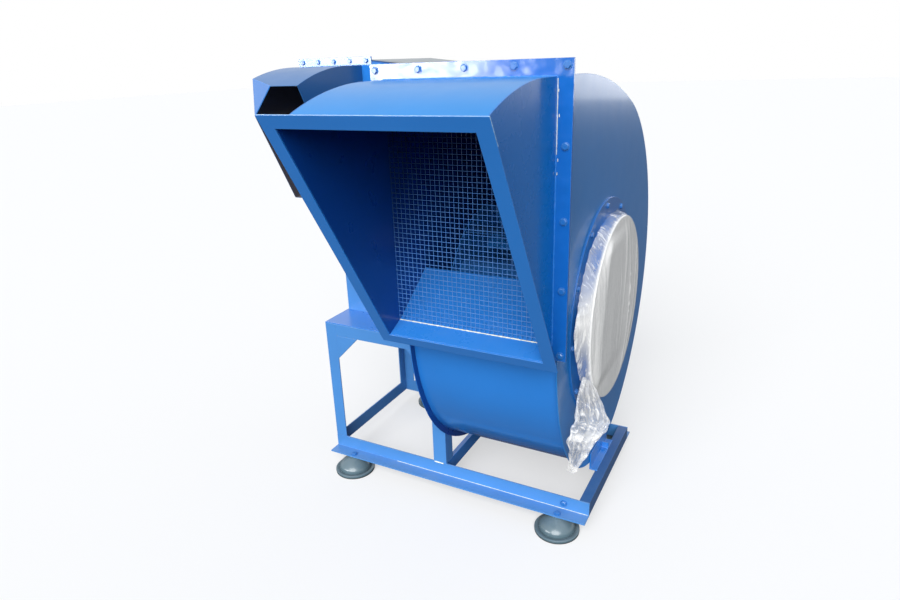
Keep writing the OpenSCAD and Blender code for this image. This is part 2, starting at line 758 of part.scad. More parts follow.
// Turns a cube into the half space outside the cowl's cut corner, moved in by depth
corner_turn = -114.8;
corner_tilt = -5.5;
module outside_corner(depth, l) {
  size = 2 * cowl_reach;
  translate([x_cowl + corner_cut, y_cowl_mouth, z_cowl_mouth])
    rotate([0, corner_tilt, corner_turn]) translate([-depth, -size, -size])
      cube([l, 2 * size, 2 * size]);
}
module cowl_shell() {
  color(blue) difference() {
    side(x_cowl, cowl_w) cowl_profile();
    side(x_cowl + cowl_t, cowl_w - 2 * cowl_t) cowl_hollow();
    outside_corner(cowl_t, 2 * cowl_reach);
  }
}
module cowl_corner_plate() {
  color(blue) intersection() {
    side(x_cowl, cowl_w) cowl_profile();
    outside_corner(cowl_t, cowl_t);
  }
}
module cowl_neck() {
  color(blue) translate([0, y_cab, 0]) rotate([90, 0, 0])
    linear_extrude(cab_setback - cowl_flange_t) difference() {
      translate([x_cowl, cowl_bottom]) square([cowl_w, neck_top - cowl_bottom]);
      translate([x_cowl + cowl_t, cowl_bottom + cowl_t])
        square([cowl_w - 2 * cowl_t, neck_top - cowl_bottom - 2 * cowl_t]);
    }
}
cowl_outer = [[x_cowl - cowl_leg, cowl_bottom - cowl_leg],
  [x_cowl + cowl_w + cowl_leg, cowl_top + cowl_top_leg]];
cowl_corners = [cowl_outer[0] + [cowl_leg, cowl_leg] / 2,
  cowl_outer[1] - [cowl_leg, cowl_top_leg] / 2];
cowl_places = concat(
  [for (i = [0 : 4], k = [0, 1])
    [cowl_corners[0][0] + (cowl_corners[1][0] - cowl_corners[0][0]) * i / 4, cowl_corners[k][1]]],
  [for (i = [1 : 3], k = [0, 1])
    [cowl_corners[k][0], cowl_corners[0][1] + (cowl_corners[1][1] - cowl_corners[0][1]) * i / 4]]);
module cowl_flanges() {
  outer_w = cowl_outer[1][0] - cowl_outer[0][0];
  outer_h = cowl_outer[1][1] - cowl_outer[0][1];
  color(blue) difference() {
    for (i = [0, 1]) translate([0, y_front + i * cowl_flange_t, 0]) rotate([90, 0, 0])
      linear_extrude(cowl_flange_t) difference() {
        translate(cowl_outer[0]) square([outer_w, outer_h]);
        translate([x_cowl, cowl_bottom])
          square([cowl_w, (i == 0 ? cowl_top : neck_top) - cowl_bottom]);
      }
    for (p = cowl_places) translate([p[0], y_front - cowl_flange_t, p[1]])
      rotate([90, 0, 0]) bolt_hole(cowl_bolt_d, 2 * cowl_flange_t);
  }
}

module motor_shelf() {
  color(blue) translate([x_cab + cab_t, y_cab + cab_t, shelf_top - shelf_t])
    difference() {
      cube([cab_w - 2 * cab_t, cab_d - 2 * cab_t, shelf_t]);
      translate([x_pulley - x_cab - pulley_gap / 2, pulley_gap / 2, -cut])
        cube([pulley_w + pulley_gap, cab_d - pulley_gap - 2 * cab_t, shelf_t + 2 * cut]);
    }
}
module on_motor(x) {
  translate([x, y_motor, motor_h]) rotate([0, 90, 0]) children();
}
fins_n = 24;
fin_h = 12;
shield_l = 18;
x_frame = x_motor + shield_l;
fin_shares = [[0, -0.2], [1, -0.1], [1, 0.1], [0, 0.2]];
// The finned drum in end view; each fin is drawn in shares of its height and of its turn
module finned_drum() {
  polygon([for (i = [0 : fins_n - 1], s = fin_shares)
    (motor_r - fin_h + fin_h * s[0]) * along((i + s[1]) * 360 / fins_n)]);
}
module motor_body() {
  bore_r = motor_shaft_r + fit;
  color(cast_grey) {
    on_motor(x_motor) tube(motor_r * 0.85, bore_r, shield_l);
    on_motor(x_frame) linear_extrude(motor_l) difference() {
      finned_drum();
      circle(r = bore_r, $fn = side_n);
    }
    on_motor(x_frame + motor_l) tube(motor_r * 1.02, motor_r * 0.3, 2.4 * shield_l);
  }
}
module motor_feet() {
  foot_w = motor_l * 0.18;
  z_sole = shelf_top;
  color(cast_grey) for (s = [0.12, 0.7]) difference() {
    translate([x_frame + motor_l * s, y_motor - motor_r * 0.9, z_sole])
      cube([foot_w, motor_r * 1.8, motor_foot_h + motor_r * 0.45]);
    on_motor(x_frame - cut) cylinder(r = motor_r + seam, h = motor_l + 2 * cut, $fn = side_n);
  }
}
module motor_terminal_box() {
  box = [motor_l * 0.45, motor_r, motor_r * 0.4];
  color(cast_grey) translate([x_frame + motor_l * 0.3, y_motor - box[1] / 2, motor_h + motor_r])
    cube(box);
}

// Belt places along the pulley's width
function belt_x(i) = x_pulley + pulley_w * (i + 1) / (belts_n + 1);
belt_w = 12;
module belt_loop(extra) {
  hull() {
    translate([0, y_axis, axis_h]) rotate([0, 90, 0])
      cylinder(r = fan_pulley_r - groove + belt_gap + extra, h = belt_w, $fn = 48);
    on_motor(0) cylinder(r = motor_pulley_r - groove + belt_gap + extra, h = belt_w, $fn = 48);
  }
}
module drive_belts() {
  color(black_rubber) for (i = [0 : belts_n - 1]) translate([belt_x(i) - belt_w / 2, 0, 0])
    difference() {
      belt_loop(belt_t);
      translate([-cut, 0, 0]) scale([1 + 2 * cut / belt_w, 1, 1]) belt_loop(0);
    }
}
// A pulley with one groove for each belt, its bore along the axis
module pulley(r, bore) {
  half = belt_w / 2 + belt_gap;
  color(cast_grey) difference() {
    cylinder(r = r, h = pulley_w, $fn = side_n);
    translate([0, 0, -cut]) cylinder(r = bore, h = pulley_w + 2 * cut, $fn = side_n);
    for (i = [0 : belts_n - 1]) translate([0, 0, belt_x(i) - x_pulley - half]) difference() {
      cylinder(r = r + cut, h = 2 * half, $fn = side_n);
      translate([0, 0, -cut]) cylinder(r = r - groove, h = 2 * half + 2 * cut, $fn = side_n);
    }
  }
}
module fan_pulley() {
  on_axis(x_pulley) pulley(fan_pulley_r, shaft_r + fit);
}
module motor_pulley() {
  on_motor(x_pulley) pulley(motor_pulley_r, motor_shaft_r + fit);
}
module motor_shaft() {
  start = x_pulley - pulley_gap / 5;
  color(steel) on_motor(start)
    cylinder(r = motor_shaft_r, h = x_frame + motor_l - start, $fn = side_n);
}
module fan_shaft() {
  start = x_pulley - pulley_gap / 5;
  color(steel) on_axis(start) cylinder(r = shaft_r, h = x_hub + hub_l - start, $fn = side_n);
}

module impeller_backplate() {
  color(deep_blue) on_axis(x_disc) tube(impeller_r, hub_r + seam, blade_t);
}
module impeller_hub() {
  color(cast_grey) on_axis(x_hub) tube(hub_r, shaft_r + fit, hub_l);
}
// The space between the back disc and the shroud, as a solid of revolution
module blade_space() {
  rotate_extrude($fn = side_n) polygon([[0, 0], [impeller_r, 0], [impeller_r, tip_w - seam],
    [shroud_eye_r, eye_w - seam], [0, eye_w - seam]]);
}
function blade_edge(side_turn) = [for (i = [0 : 8]) let (s = i / 8,
  r = blade_root_r + (impeller_r - 2 * blade_t - blade_root_r) * s)
  r * along(blade_sweep * s * s + side_turn * blade_t * 90 / (PI * r))];
module impeller_blades() {
  color(deep_blue) on_axis(x_disc + blade_t) for (i = [0 : blades_n - 1]) intersection() {
    rotate([0, 0, i * 360 / blades_n]) linear_extrude(eye_w)
      polygon(concat(blade_edge(1), reversed(blade_edge(-1))));
    blade_space();
  }
}
module impeller_shroud() {
  eye_l = eye_w * collar_share;
  color(deep_blue) on_axis(x_disc + blade_t) rotate_extrude($fn = side_n) polygon([
    [impeller_r, tip_w], [impeller_r, tip_w + blade_t], [shroud_eye_r + blade_t, eye_w + blade_t],
    [shroud_eye_r + blade_t, eye_w + eye_l], [shroud_eye_r, eye_w + eye_l], [shroud_eye_r, eye_w]]);
}

module inlet_film() {
  color(film_white) on_axis(x_film - film_skirt) difference() {
    cylinder(r = film_r + film_t, h = film_skirt + film_gap + film_t, $fn = side_n);
    translate([0, 0, -cut]) cylinder(r = film_r, h = film_skirt + cut + film_gap, $fn = side_n);
  }
}
// The tail hangs from the film's lower front, drawn across y
tail_w = 130;
tail_t = 30;
tail_shares = [[-0.25, 0], [0, 0], [0.65, -0.45], [0.25, -0.62], [-0.2, -1], [-0.3, -0.7]];
module film_tail() {
  hang = 225;
  reach = film_r + film_t;
  y_tail = y_axis - hang;
  z_tail = axis_h - sqrt(pow(reach, 2) - pow(hang, 2)) - seam;
  color(film_white) translate([x_film, y_tail, z_tail]) rotate([90, 0, 0])
    linear_extrude(tail_t) polygon([for (s = tail_shares) [s[0] * tail_w, s[1] * tail_l]]);
}

foot_pads();
foot_domes();
frame_bolts();
front_rail();
rear_rail();
left_rail();
right_rail();
mid_rail();
left_posts();
mid_posts();
front_beam();
rear_beam();
side_beams();
pedestal_gussets();
pedestal_deck();
scroll_left_plate();
scroll_right_plate();
scroll_wrap();
outlet_floor();
outlet_flange();
scroll_support();
hood_flange();
flange_bolts();
hood_side_walls();
hood_top_sheet();
hood_floor();
mouth_frame();
guard_mesh();
inlet_ring();
inlet_cone();
inlet_spigot();
ring_bolts();
shaft_seal();
bearing_stands();
bearing_housings();
bearing_inserts();
bearing_bolts();
cabinet_front();
cabinet_sides();
cabinet_back();
cabinet_roof();
cowl_neck();
cowl_flanges();
cowl_shell();
cowl_corner_plate();
motor_shelf();
motor_body();
motor_feet();
motor_terminal_box();
drive_belts();
impeller_backplate();
impeller_blades();
impeller_shroud();
impeller_hub();
fan_shaft();
fan_pulley();
motor_shaft();
motor_pulley();
inlet_film();
film_tail();
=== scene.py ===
# %% [markdown]
# This lesson dresses a dust extraction fan: a scroll casing on an angle iron base, with a hooded
# outlet in front, a ducted inlet on the right and a drive cabinet on a pedestal at the left.
# The construction comes as a fixed frame of named nodes that ride on bodies. What is added here
# is placed from that frame's own boxes, so it fits without any nudging. Only the edges of the
# film's hanging tail are stated as places of their own.

# %% Load the frame
import json
import math

import bmesh
import bpy
from mathutils import Matrix, Vector, noise


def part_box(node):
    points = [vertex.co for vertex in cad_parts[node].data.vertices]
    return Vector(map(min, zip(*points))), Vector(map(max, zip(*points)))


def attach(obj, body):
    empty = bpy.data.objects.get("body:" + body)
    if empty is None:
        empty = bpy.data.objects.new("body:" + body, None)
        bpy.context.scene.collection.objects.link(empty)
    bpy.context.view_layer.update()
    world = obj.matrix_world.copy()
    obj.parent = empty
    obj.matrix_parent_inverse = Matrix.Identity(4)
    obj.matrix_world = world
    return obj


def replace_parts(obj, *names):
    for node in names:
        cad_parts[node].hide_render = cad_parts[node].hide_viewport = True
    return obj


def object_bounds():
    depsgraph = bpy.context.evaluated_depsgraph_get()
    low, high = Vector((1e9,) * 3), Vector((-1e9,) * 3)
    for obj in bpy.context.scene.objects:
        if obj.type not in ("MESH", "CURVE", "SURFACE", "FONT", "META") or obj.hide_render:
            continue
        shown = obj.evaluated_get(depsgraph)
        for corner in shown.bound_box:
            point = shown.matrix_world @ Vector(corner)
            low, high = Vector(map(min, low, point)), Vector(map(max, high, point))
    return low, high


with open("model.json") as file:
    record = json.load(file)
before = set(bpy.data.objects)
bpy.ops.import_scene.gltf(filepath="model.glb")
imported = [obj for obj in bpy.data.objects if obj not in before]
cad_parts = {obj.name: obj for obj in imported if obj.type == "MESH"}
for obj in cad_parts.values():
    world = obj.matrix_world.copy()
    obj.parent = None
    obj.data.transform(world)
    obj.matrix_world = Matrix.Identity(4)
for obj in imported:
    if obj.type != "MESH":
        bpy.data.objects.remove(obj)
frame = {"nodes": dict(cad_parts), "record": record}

MM = 0.001
cad_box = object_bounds()
nodes = frame["nodes"]
slot_of = {part["node"]: part["material_slot"] for part in frame["record"]["subparts"]}
body_of = {n: body for body, names in frame["record"]["behaviour"]["bodies"].items() for n in names}
print("nodes in the frame:", len(nodes))

# %% [markdown]
# The camera stands where the photographer stood: ahead of the machine, to its right and a little
# above its top. Its place and its three angles were solved from the straight edges of the base
# frame, whose corners are square on the real machine. A camera's own axes are right, up and
# backwards, so the three vectors become the columns of its matrix.

# %% Set up the camera
PHOTO_W, PHOTO_H = 900, 600
CAMERA_PLACE = Vector((1.4817, -1.8395, 1.5992))
YAW, PITCH, ROLL = (math.radians(a) for a in (28.527, 20.292, -2.116))
FOCAL_PX = 647.849
SENSOR_MM = 36

forward = Vector((-math.sin(YAW) * math.cos(PITCH), math.cos(YAW) * math.cos(PITCH),
                  -math.sin(PITCH)))
level = forward.cross(Vector((0, 0, 1))).normalized()
upright = level.cross(forward)
rightward = math.cos(ROLL) * level + math.sin(ROLL) * upright
upward = math.cos(ROLL) * upright - math.sin(ROLL) * level
camera_data = bpy.data.cameras.new("photograph")
camera_data.lens = FOCAL_PX / PHOTO_W * SENSOR_MM
camera_data.sensor_width = SENSOR_MM
camera_data.sensor_fit = "HORIZONTAL"
camera = bpy.data.objects.new("photograph", camera_data)
stance = Matrix((rightward, upward, -forward)).transposed().to_4x4()
camera.matrix_world = Matrix.Translation(CAMERA_PLACE) @ stance
bpy.context.scene.collection.objects.link(camera)
bpy.context.scene.camera = camera
bpy.context.scene.view_settings.view_transform = "Standard"
print("lens", round(camera_data.lens, 2), "mm")

# %% [markdown]
# Node trees for shaders and for geometry are both built here in code. One helper adds a node,
# sets its properties and fills its inputs: a value is typed in, and a socket is linked. Shorter
# helpers do arithmetic, move a value to another range and make noise, and one turns a screen
# colour, from 0 to 255, into the linear numbers that a shader wants.

# %% Helpers for node trees and colours
FLOAT, COLOUR = "NodeSocketFloat", "NodeSocketColor"


def fill(tree, node, inputs):
    """Links each input that is given as a socket, and types in each value."""
    for key, value in inputs.items():
        if isinstance(value, bpy.types.NodeSocket):
            tree.links.new(value, node.inputs[key])
        else:
            node.inputs[key].default_value = value


def add(tree, kind, inputs=None, **settings):
    """Adds a node to a tree, with its settings and its inputs."""
    node = tree.nodes.new(kind)
    for key, value in settings.items():
        setattr(node, key, value)
    fill(tree, node, inputs or {})
    return node


def calc(tree, operation, *values):
    """Arithmetic on values or sockets, as the socket with the result."""
    return add(tree, "ShaderNodeMath", dict(enumerate(values)), operation=operation).outputs[0]


def remapped(tree, value, source, target):
    """A value moved from one range to another, as the socket with the result."""
    return add(tree, "ShaderNodeMapRange", {
        "Value": value, "From Min": source[0], "From Max": source[1],
        "To Min": target[0], "To Max": target[1]}).outputs[0]


def clouds(tree, place, scale, detail=2.0, **finer):
    """Smooth noise over the piece, as the socket with its value."""
    return add(tree, "ShaderNodeTexNoise", {"Vector": place, "Scale": scale, "Detail": detail,
                                            **finer}).outputs[0]


def on_piece(tree):
    """The place on the piece itself, so that a pattern moves with it."""
    return add(tree, "ShaderNodeTexCoord").outputs["Object"]


def linear(red, green, blue):
    """A screen colour as linear red, green, blue and alpha."""
    def channel(value):
        """One channel, from the screen's curve to an even scale."""
        value /= 255
        return value / 12.92 if value <= 0.04045 else ((value + 0.055) / 1.055) ** 2.4
    return (channel(red), channel(green), channel(blue), 1.0)


def new_material(name):
    """A material, its tree and its Principled shader."""
    material = bpy.data.materials.new(name)
    material.use_nodes = True
    return material, material.node_tree, material.node_tree.nodes["Principled BSDF"]


def shader_group(name, inputs, outputs):
    """An empty shader node group with named sockets: its tree, its inputs and its exit."""
    tree = bpy.data.node_groups.new(name, "ShaderNodeTree")
    for label, (kind, value) in inputs.items():
        socket = tree.interface.new_socket(label, in_out="INPUT", socket_type=kind)
        socket.default_value = value
    for label, kind in outputs.items():
        tree.interface.new_socket(label, in_out="OUTPUT", socket_type=kind)
    return tree, tree.nodes.new("NodeGroupInput").outputs, tree.nodes.new("NodeGroupOutput")


print("mid grey as a shader sees it:", round(linear(128, 128, 128)[0], 3))

# %% [markdown]
# The photograph has a plain white surround and the soft light of a bright overcast day that comes
# from ahead and above. A broad sun gives that light evenly, two wide lamps stand for the bright
# gaps in the surroundings that draw the white sheens on the top flange and on the side plate, and
# the world fills in. The floor looks white to the camera, but returns little light to the
# machine, as dark ground does, so that the inside of the hood stays as deep as it is in the
# photograph.

# %% Build the floor and the world
FLOOR_HALF = 40.0
SKY_STRENGTH = 0.5
FLOOR_BOUNCE, FLOOR_MIRRORED, FLOOR_SEEN = 0.07, 0.16, 0.42
FLOOR_LIFT = 0.5
WHITE = (1, 1, 1, 1)
UNIT = (0.0, 1.0)

floor_mesh = bpy.data.meshes.new("studio_floor")
floor_mesh.from_pydata([(-FLOOR_HALF, -FLOOR_HALF, 0), (FLOOR_HALF, -FLOOR_HALF, 0),
                        (FLOOR_HALF, FLOOR_HALF, 0), (-FLOOR_HALF, FLOOR_HALF, 0)], [], [(0, 1, 2, 3)])
floor = bpy.data.objects.new("studio_floor", floor_mesh)
bpy.context.scene.collection.objects.link(floor)


def make_floor_material():
    """White and shadowed to the eye, grey in reflections, dark to the light that bounces off."""
    material, tree, shader = new_material("studio_floor")
    path = add(tree, "ShaderNodeLightPath").outputs
    seen = calc(tree, "MAXIMUM", path["Is Camera Ray"], path["Is Transmission Ray"])
    mirrored = remapped(tree, path["Is Glossy Ray"], UNIT, (FLOOR_BOUNCE, FLOOR_MIRRORED))
    fill(tree, shader, {
        "Base Color": remapped(tree, seen, UNIT, (mirrored, FLOOR_SEEN)),
        "Emission Strength": calc(tree, "MULTIPLY", seen, FLOOR_LIFT),
        "Emission Color": WHITE, "Roughness": 0.9, "Specular IOR Level": 0.0})
    return material


def make_world():
    """White to the eye, in mirrors and through film, and a soft blue-white as light."""
    world = bpy.data.worlds.new("overcast")
    world.use_nodes = True
    tree = world.node_tree
    sky = tree.nodes["Background"]
    fill(tree, sky, {"Color": linear(232, 240, 250), "Strength": SKY_STRENGTH})
    white = add(tree, "ShaderNodeBackground", {"Color": WHITE, "Strength": 1.0})
    path = add(tree, "ShaderNodeLightPath").outputs
    mirrored = calc(tree, "MAXIMUM", path["Is Glossy Ray"], path["Is Transmission Ray"])
    direct = calc(tree, "MAXIMUM", path["Is Camera Ray"], mirrored)
    pick = add(tree, "ShaderNodeMixShader", {0: direct, 1: sky.outputs[0], 2: white.outputs[0]})
    fill(tree, tree.nodes["World Output"], {"Surface": pick.outputs[0]})
    return world


floor.data.materials.append(make_floor_material())
bpy.context.scene.world = make_world()
print("floor:", 2 * FLOOR_HALF, "m wide")

# %% [markdown]
# A lamp looks along its own minus Z, so its matrix comes from the line to its target. The sun is
# very wide, which softens every shadow. The two area lamps are kept out of the diffuse light:
# they only show as bright patches mirrored in the paint.

# %% Hang the lamps
SUN_SOFTNESS, SUN_STRENGTH = math.radians(50), 4.3
TO_SUN = Vector((0.15, -0.83, 0.53))


def hang(data, place, target):
    """Links a lamp at its place, looking at its target."""
    lit = bpy.data.objects.new(data.name, data)
    aim = (Vector(target) - Vector(place)).to_track_quat("-Z", "Y").to_matrix().to_4x4()
    lit.matrix_world = Matrix.Translation(place) @ aim
    bpy.context.scene.collection.objects.link(lit)
    return lit


def gap(name, place, target, width, height, radiance):
    """A wide lamp that only shows as a bright gap in the surroundings, mirrored in the paint."""
    data = bpy.data.lights.new(name, "AREA")
    data.shape = "RECTANGLE"
    data.size = width
    data.size_y = height
    data.energy = radiance * math.pi * width * height
    hang(data, place, target).visible_diffuse = False


middle = Vector([(low + high) / 2 for low, high in zip(*cad_box)])
day = bpy.data.lights.new("day", "SUN")
day.angle = SUN_SOFTNESS
day.energy = SUN_STRENGTH
hang(day, middle + TO_SUN, middle)
gap("front_gap", place=(-2.1, -3.85, 1.62), target=(0.45, -0.2, 1.57), width=2.2, height=0.5,
    radiance=27.0)
gap("rear_gap", place=(2.1, 5.4, 1.58), target=(0.93, 0.6, 1.4), width=1.8, height=0.86,
    radiance=2.5)
print("lamps:", len(bpy.data.lights))

# %% [markdown]
# The whole machine wears one glossy blue enamel, sprayed over welded sheet and angle iron. Close
# up it isn't flat: the colour drifts where the coat is thicker, the surface has a fine orange
# peel, the sheet under it waves slightly, dust settles on what faces up and the rounded edges
# catch the light. Each effect is a node group, because several paints share them.

# %% Shader group for a sprayed coat
GROUP_BLUE = (0.1, 0.3, 0.7, 1)


def make_sprayed_coat():
    """Colour drift, gloss drift and the height of peel and sheet waves."""
    tree, given, leave = shader_group("sprayed_coat", {
        "Colour": (COLOUR, GROUP_BLUE), "Drift": (FLOAT, 0.06), "Drift Scale": (FLOAT, 3.0),
        "Peel Scale": (FLOAT, 320.0), "Peel": (FLOAT, 0.05), "Wave Scale": (FLOAT, 6.0),
        "Wave": (FLOAT, 1.0), "Smoothness": (FLOAT, 0.2), "Gloss Drift": (FLOAT, 0.1)},
        {"Colour": COLOUR, "Roughness": FLOAT, "Height": FLOAT})
    place = on_piece(tree)
    cloud = clouds(tree, place, given["Drift Scale"], 4.0, Roughness=0.6)
    drift = calc(tree, "MULTIPLY", calc(tree, "SUBTRACT", cloud, 0.5), given["Drift"])
    value = calc(tree, "MULTIPLY_ADD", drift, 4.0, 1.0)
    tone = add(tree, "ShaderNodeHueSaturation", {"Value": value, "Color": given["Colour"]})
    gloss = clouds(tree, place, 14.0, 3.0)
    rough = calc(tree, "MULTIPLY_ADD", gloss, given["Gloss Drift"], given["Smoothness"])
    peel = clouds(tree, place, given["Peel Scale"])
    wave = calc(tree, "MULTIPLY", clouds(tree, place, given["Wave Scale"], 1.0), given["Wave"])
    height = calc(tree, "MULTIPLY_ADD", peel, given["Peel"], wave)
    fill(tree, leave, {"Colour": tone.outputs[0], "Roughness": rough, "Height": height})
    return tree


sprayed_coat = make_sprayed_coat()
print("sprayed coat nodes:", len(sprayed_coat.nodes))

# %% [markdown]
# Dust settles only on what faces up. The normal's Z, raised to a power, keeps it off the walls,
# and noise breaks it into patches.

# %% Shader group for dust that settles on top
def make_settled_dust():
    """Lightens what faces up, in patches, and leaves the rest."""
    tree, given, leave = shader_group("settled_dust", {
        "Colour": (COLOUR, GROUP_BLUE), "Dust": (COLOUR, (0.5, 0.5, 0.5, 1)),
        "Amount": (FLOAT, 0.25), "Patch Scale": (FLOAT, 9.0)}, {"Colour": COLOUR, "Mask": FLOAT})
    normal = add(tree, "ShaderNodeNewGeometry").outputs["Normal"]
    upward_share = add(tree, "ShaderNodeSeparateXYZ", {0: normal}).outputs["Z"]
    steep = calc(tree, "POWER", calc(tree, "MAXIMUM", upward_share, 0.0), 4.0)
    patch = clouds(tree, on_piece(tree), given["Patch Scale"], 6.0, Roughness=0.7)
    held = remapped(tree, patch, (0.38, 0.68), (0.25, 1.0))
    amount = calc(tree, "MULTIPLY", calc(tree, "MULTIPLY", steep, held), given["Amount"])
    mix = add(tree, "ShaderNodeMixRGB", {0: amount, 1: given["Colour"], 2: given["Dust"]})
    fill(tree, leave, {"Colour": mix.outputs[0], "Mask": amount})
    return tree


settled_dust = make_settled_dust()
print("settled dust nodes:", len(settled_dust.nodes))

# %% [markdown]
# The Bevel shader node rounds the normal near an edge. Where that rounded normal and the true one
# part, there is an edge, and the paint on it is lighter, in places more than in others: a painted
# highlight along the edge.

# %% Shader group for edges that catch the light
def make_bright_edge():
    """Finds outer edges from a rounded normal, and lightens them unevenly."""
    tree, given, leave = shader_group("bright_edge", {
        "Colour": (COLOUR, GROUP_BLUE), "Edge": (COLOUR, (0.5, 0.7, 0.9, 1)),
        "Radius": (FLOAT, 0.002), "Amount": (FLOAT, 0.5)}, {"Colour": COLOUR})
    soft = add(tree, "ShaderNodeBevel", {"Radius": given["Radius"]}, samples=4).outputs[0]
    true_normal = add(tree, "ShaderNodeNewGeometry").outputs["True Normal"]
    same = add(tree, "ShaderNodeVectorMath", {0: soft, 1: true_normal}, operation="DOT_PRODUCT")
    apart = remapped(tree, same.outputs["Value"], (0.985, 0.8), UNIT)
    broken = remapped(tree, clouds(tree, on_piece(tree), 40.0, 5.0), (0.4, 0.65), (0.2, 1.0))
    amount = calc(tree, "MULTIPLY", calc(tree, "MULTIPLY", apart, broken), given["Amount"])
    mix = add(tree, "ShaderNodeMixRGB", {0: amount, 1: given["Colour"], 2: given["Edge"]})
    fill(tree, leave, {"Colour": mix.outputs[0]})
    return tree


bright_edge = make_bright_edge()
print("bright edge nodes:", len(bright_edge.nodes))

# %% [markdown]
# Each material is a plain Principled shader fed by those groups. Values that are the same all over,
# such as the strength of the clear coat, are typed into the shader's own sockets.

# %% Make the painted and metal materials
DUST = linear(150, 160, 168)
COAT_ROUGHNESS = 0.12


def coated(name, colour, drift=0.05, smooth=0.2, gloss_drift=0.1, peel=0.05, wave=1.0,
           dust=0.1, edge=0.35, metallic=0.0, coat=0.4, specular=0.5, bump=0.0006,
           peel_scale=320.0, wave_scale=6.0, edge_colour=(150, 190, 235)):
    """A sprayed or rubbed finish with drift, peel, dust and a painted highlight on its edges."""
    material, tree, shader = new_material(name)
    skin = add(tree, "ShaderNodeGroup", node_tree=sprayed_coat)
    fill(tree, skin, {"Colour": linear(*colour), "Drift": drift, "Smoothness": smooth,
                      "Gloss Drift": gloss_drift, "Peel": peel, "Wave": wave,
                      "Peel Scale": peel_scale, "Wave Scale": wave_scale})
    # The edges get a painted highlight.
    edge_highlight = add(tree, "ShaderNodeGroup", node_tree=bright_edge)
    fill(tree, edge_highlight, {"Colour": skin.outputs["Colour"], "Edge": linear(*edge_colour),
                      "Amount": edge})
    dusty = add(tree, "ShaderNodeGroup", node_tree=settled_dust)
    fill(tree, dusty, {"Colour": edge_highlight.outputs["Colour"], "Dust": DUST, "Amount": dust})
    relief = add(tree, "ShaderNodeBump", {"Height": skin.outputs["Height"], "Strength": 1.0,
                                          "Distance": bump})
    fill(tree, shader, {
        "Base Color": dusty.outputs["Colour"], "Normal": relief.outputs[0],
        "Roughness": calc(tree, "ADD", dusty.outputs["Mask"], skin.outputs["Roughness"]),
        "Metallic": metallic, "Coat Weight": coat, "Coat Roughness": COAT_ROUGHNESS,
        "Specular IOR Level": specular})
    return material


materials = {
    "enamel": coated("blue_enamel", (38, 122, 206)),
    "enamel_deep": coated("deep_blue_enamel", (30, 106, 180), smooth=0.26, dust=0.12),
    "foot_paint": coated("foot_paint", (84, 106, 116), smooth=0.22, dust=0.3, edge=0.2),
    "rubber": coated("black_rubber", (28, 30, 31), smooth=0.6, coat=0.0, dust=0.5, edge=0.1,
                     edge_colour=(90, 90, 90), peel=0.3, peel_scale=500.0),
    "bright_steel": coated("bright_steel", (176, 180, 184), smooth=0.25, metallic=1.0, coat=0.0,
                           peel=0.2, peel_scale=700.0, edge=0.2),
    "cast": coated("grey_casting", (96, 104, 112), smooth=0.45, coat=0.1, dust=0.3, peel=0.6,
                   peel_scale=260.0),
    "galvanised": coated("galvanised_sheet", (150, 156, 160), drift=0.2, smooth=0.35, metallic=0.7,
                         coat=0.0, dust=0.3, edge=0.2),
    "film": coated("polythene", (235, 235, 232), smooth=0.12, dust=0.0, edge=0.0),
}
# A lighter, whiter blue for the front-facing ironwork: a painted sheen of reflected light.
sheen_lit_enamel = coated("sheen_lit_blue_enamel", (70, 132, 198), smooth=0.3, dust=0.2, drift=0.07,
                       edge=0.45)
# A darker blue for the outlet flange, where the hood keeps the light off: painted shade.
flange_shade_enamel = coated("flange_shade_blue_enamel", (18, 100, 182), smooth=0.2, coat=0.25, specular=0.35)
wall_enamel = coated("wall_blue_enamel", (6, 114, 200), smooth=0.22, coat=0.2, specular=0.28)
side_enamel = coated("side_blue_enamel", (6, 120, 198), smooth=0.28, dust=0.12)
# Crinkled relief under a darker blue, and the darker blue is painted shade.
wrinkled_shade_enamel = coated("wrinkled_shade_blue_enamel", (20, 100, 184), smooth=0.16, coat=0.5,
                         wave_scale=22.0, bump=0.004, peel=0.02)
# A darker blue for the inward faces of the duct: painted shade.
inside_shade_enamel = coated("inside_shade_blue_enamel", (9, 68, 152), smooth=0.24, coat=0.2, dust=0.05,
                      edge=0.2)
hood_enamel = coated("hood_blue_enamel", (12, 126, 200), smooth=0.26, coat=0.1, specular=0.2,
                     dust=0.02)
# A darker blue for the cowl: painted shade on its side.
cowl_shade_enamel = coated("cowl_shade_blue_enamel", (34, 98, 158), smooth=0.3, coat=0.2, specular=0.35)
shaded_enamel = coated("shaded_blue_enamel", (24, 84, 144), smooth=0.3, coat=0.2)
cowl_lining = coated("cowl_lining", (96, 92, 96), smooth=0.6, coat=0.0, dust=0.0, edge=0.0)
# Pale filler, and the same colour for painted glints along some joints.
filler_and_glint = coated("pale_filler_and_glint", (226, 226, 208), smooth=0.4, coat=0.1, dust=0.0, edge=0.0,
                     peel=0.5)
# A painted highlight along the mouth's upper edge.
edge_glint = coated("edge_glint", (170, 205, 226), smooth=0.4, coat=0.1, dust=0.0, edge=0.0)
for name, node in nodes.items():
    node.data.materials.clear()
    node.data.materials.append(materials[slot_of[name]])
print("materials:", len(bpy.data.materials))

# %% [markdown]
# Real sheet and angle iron never end in a knife edge: the cut is eased and the paint rounds it
# further, and it is this thin rounding that draws a light line along every edge of the machine.
# A node's own mesh is loose triangles and must stay as it is, so each visible node is copied,
# its triangles are joined into whole faces, and a Bevel modifier rounds the copy.

# %% Round the edges of the visible nodes
SMOOTH_ANGLE, EASED_ANGLE, FLAT_ANGLE = (math.radians(a) for a in (28, 35, 0.5))
MERGE_WITHIN = 0.01 * MM


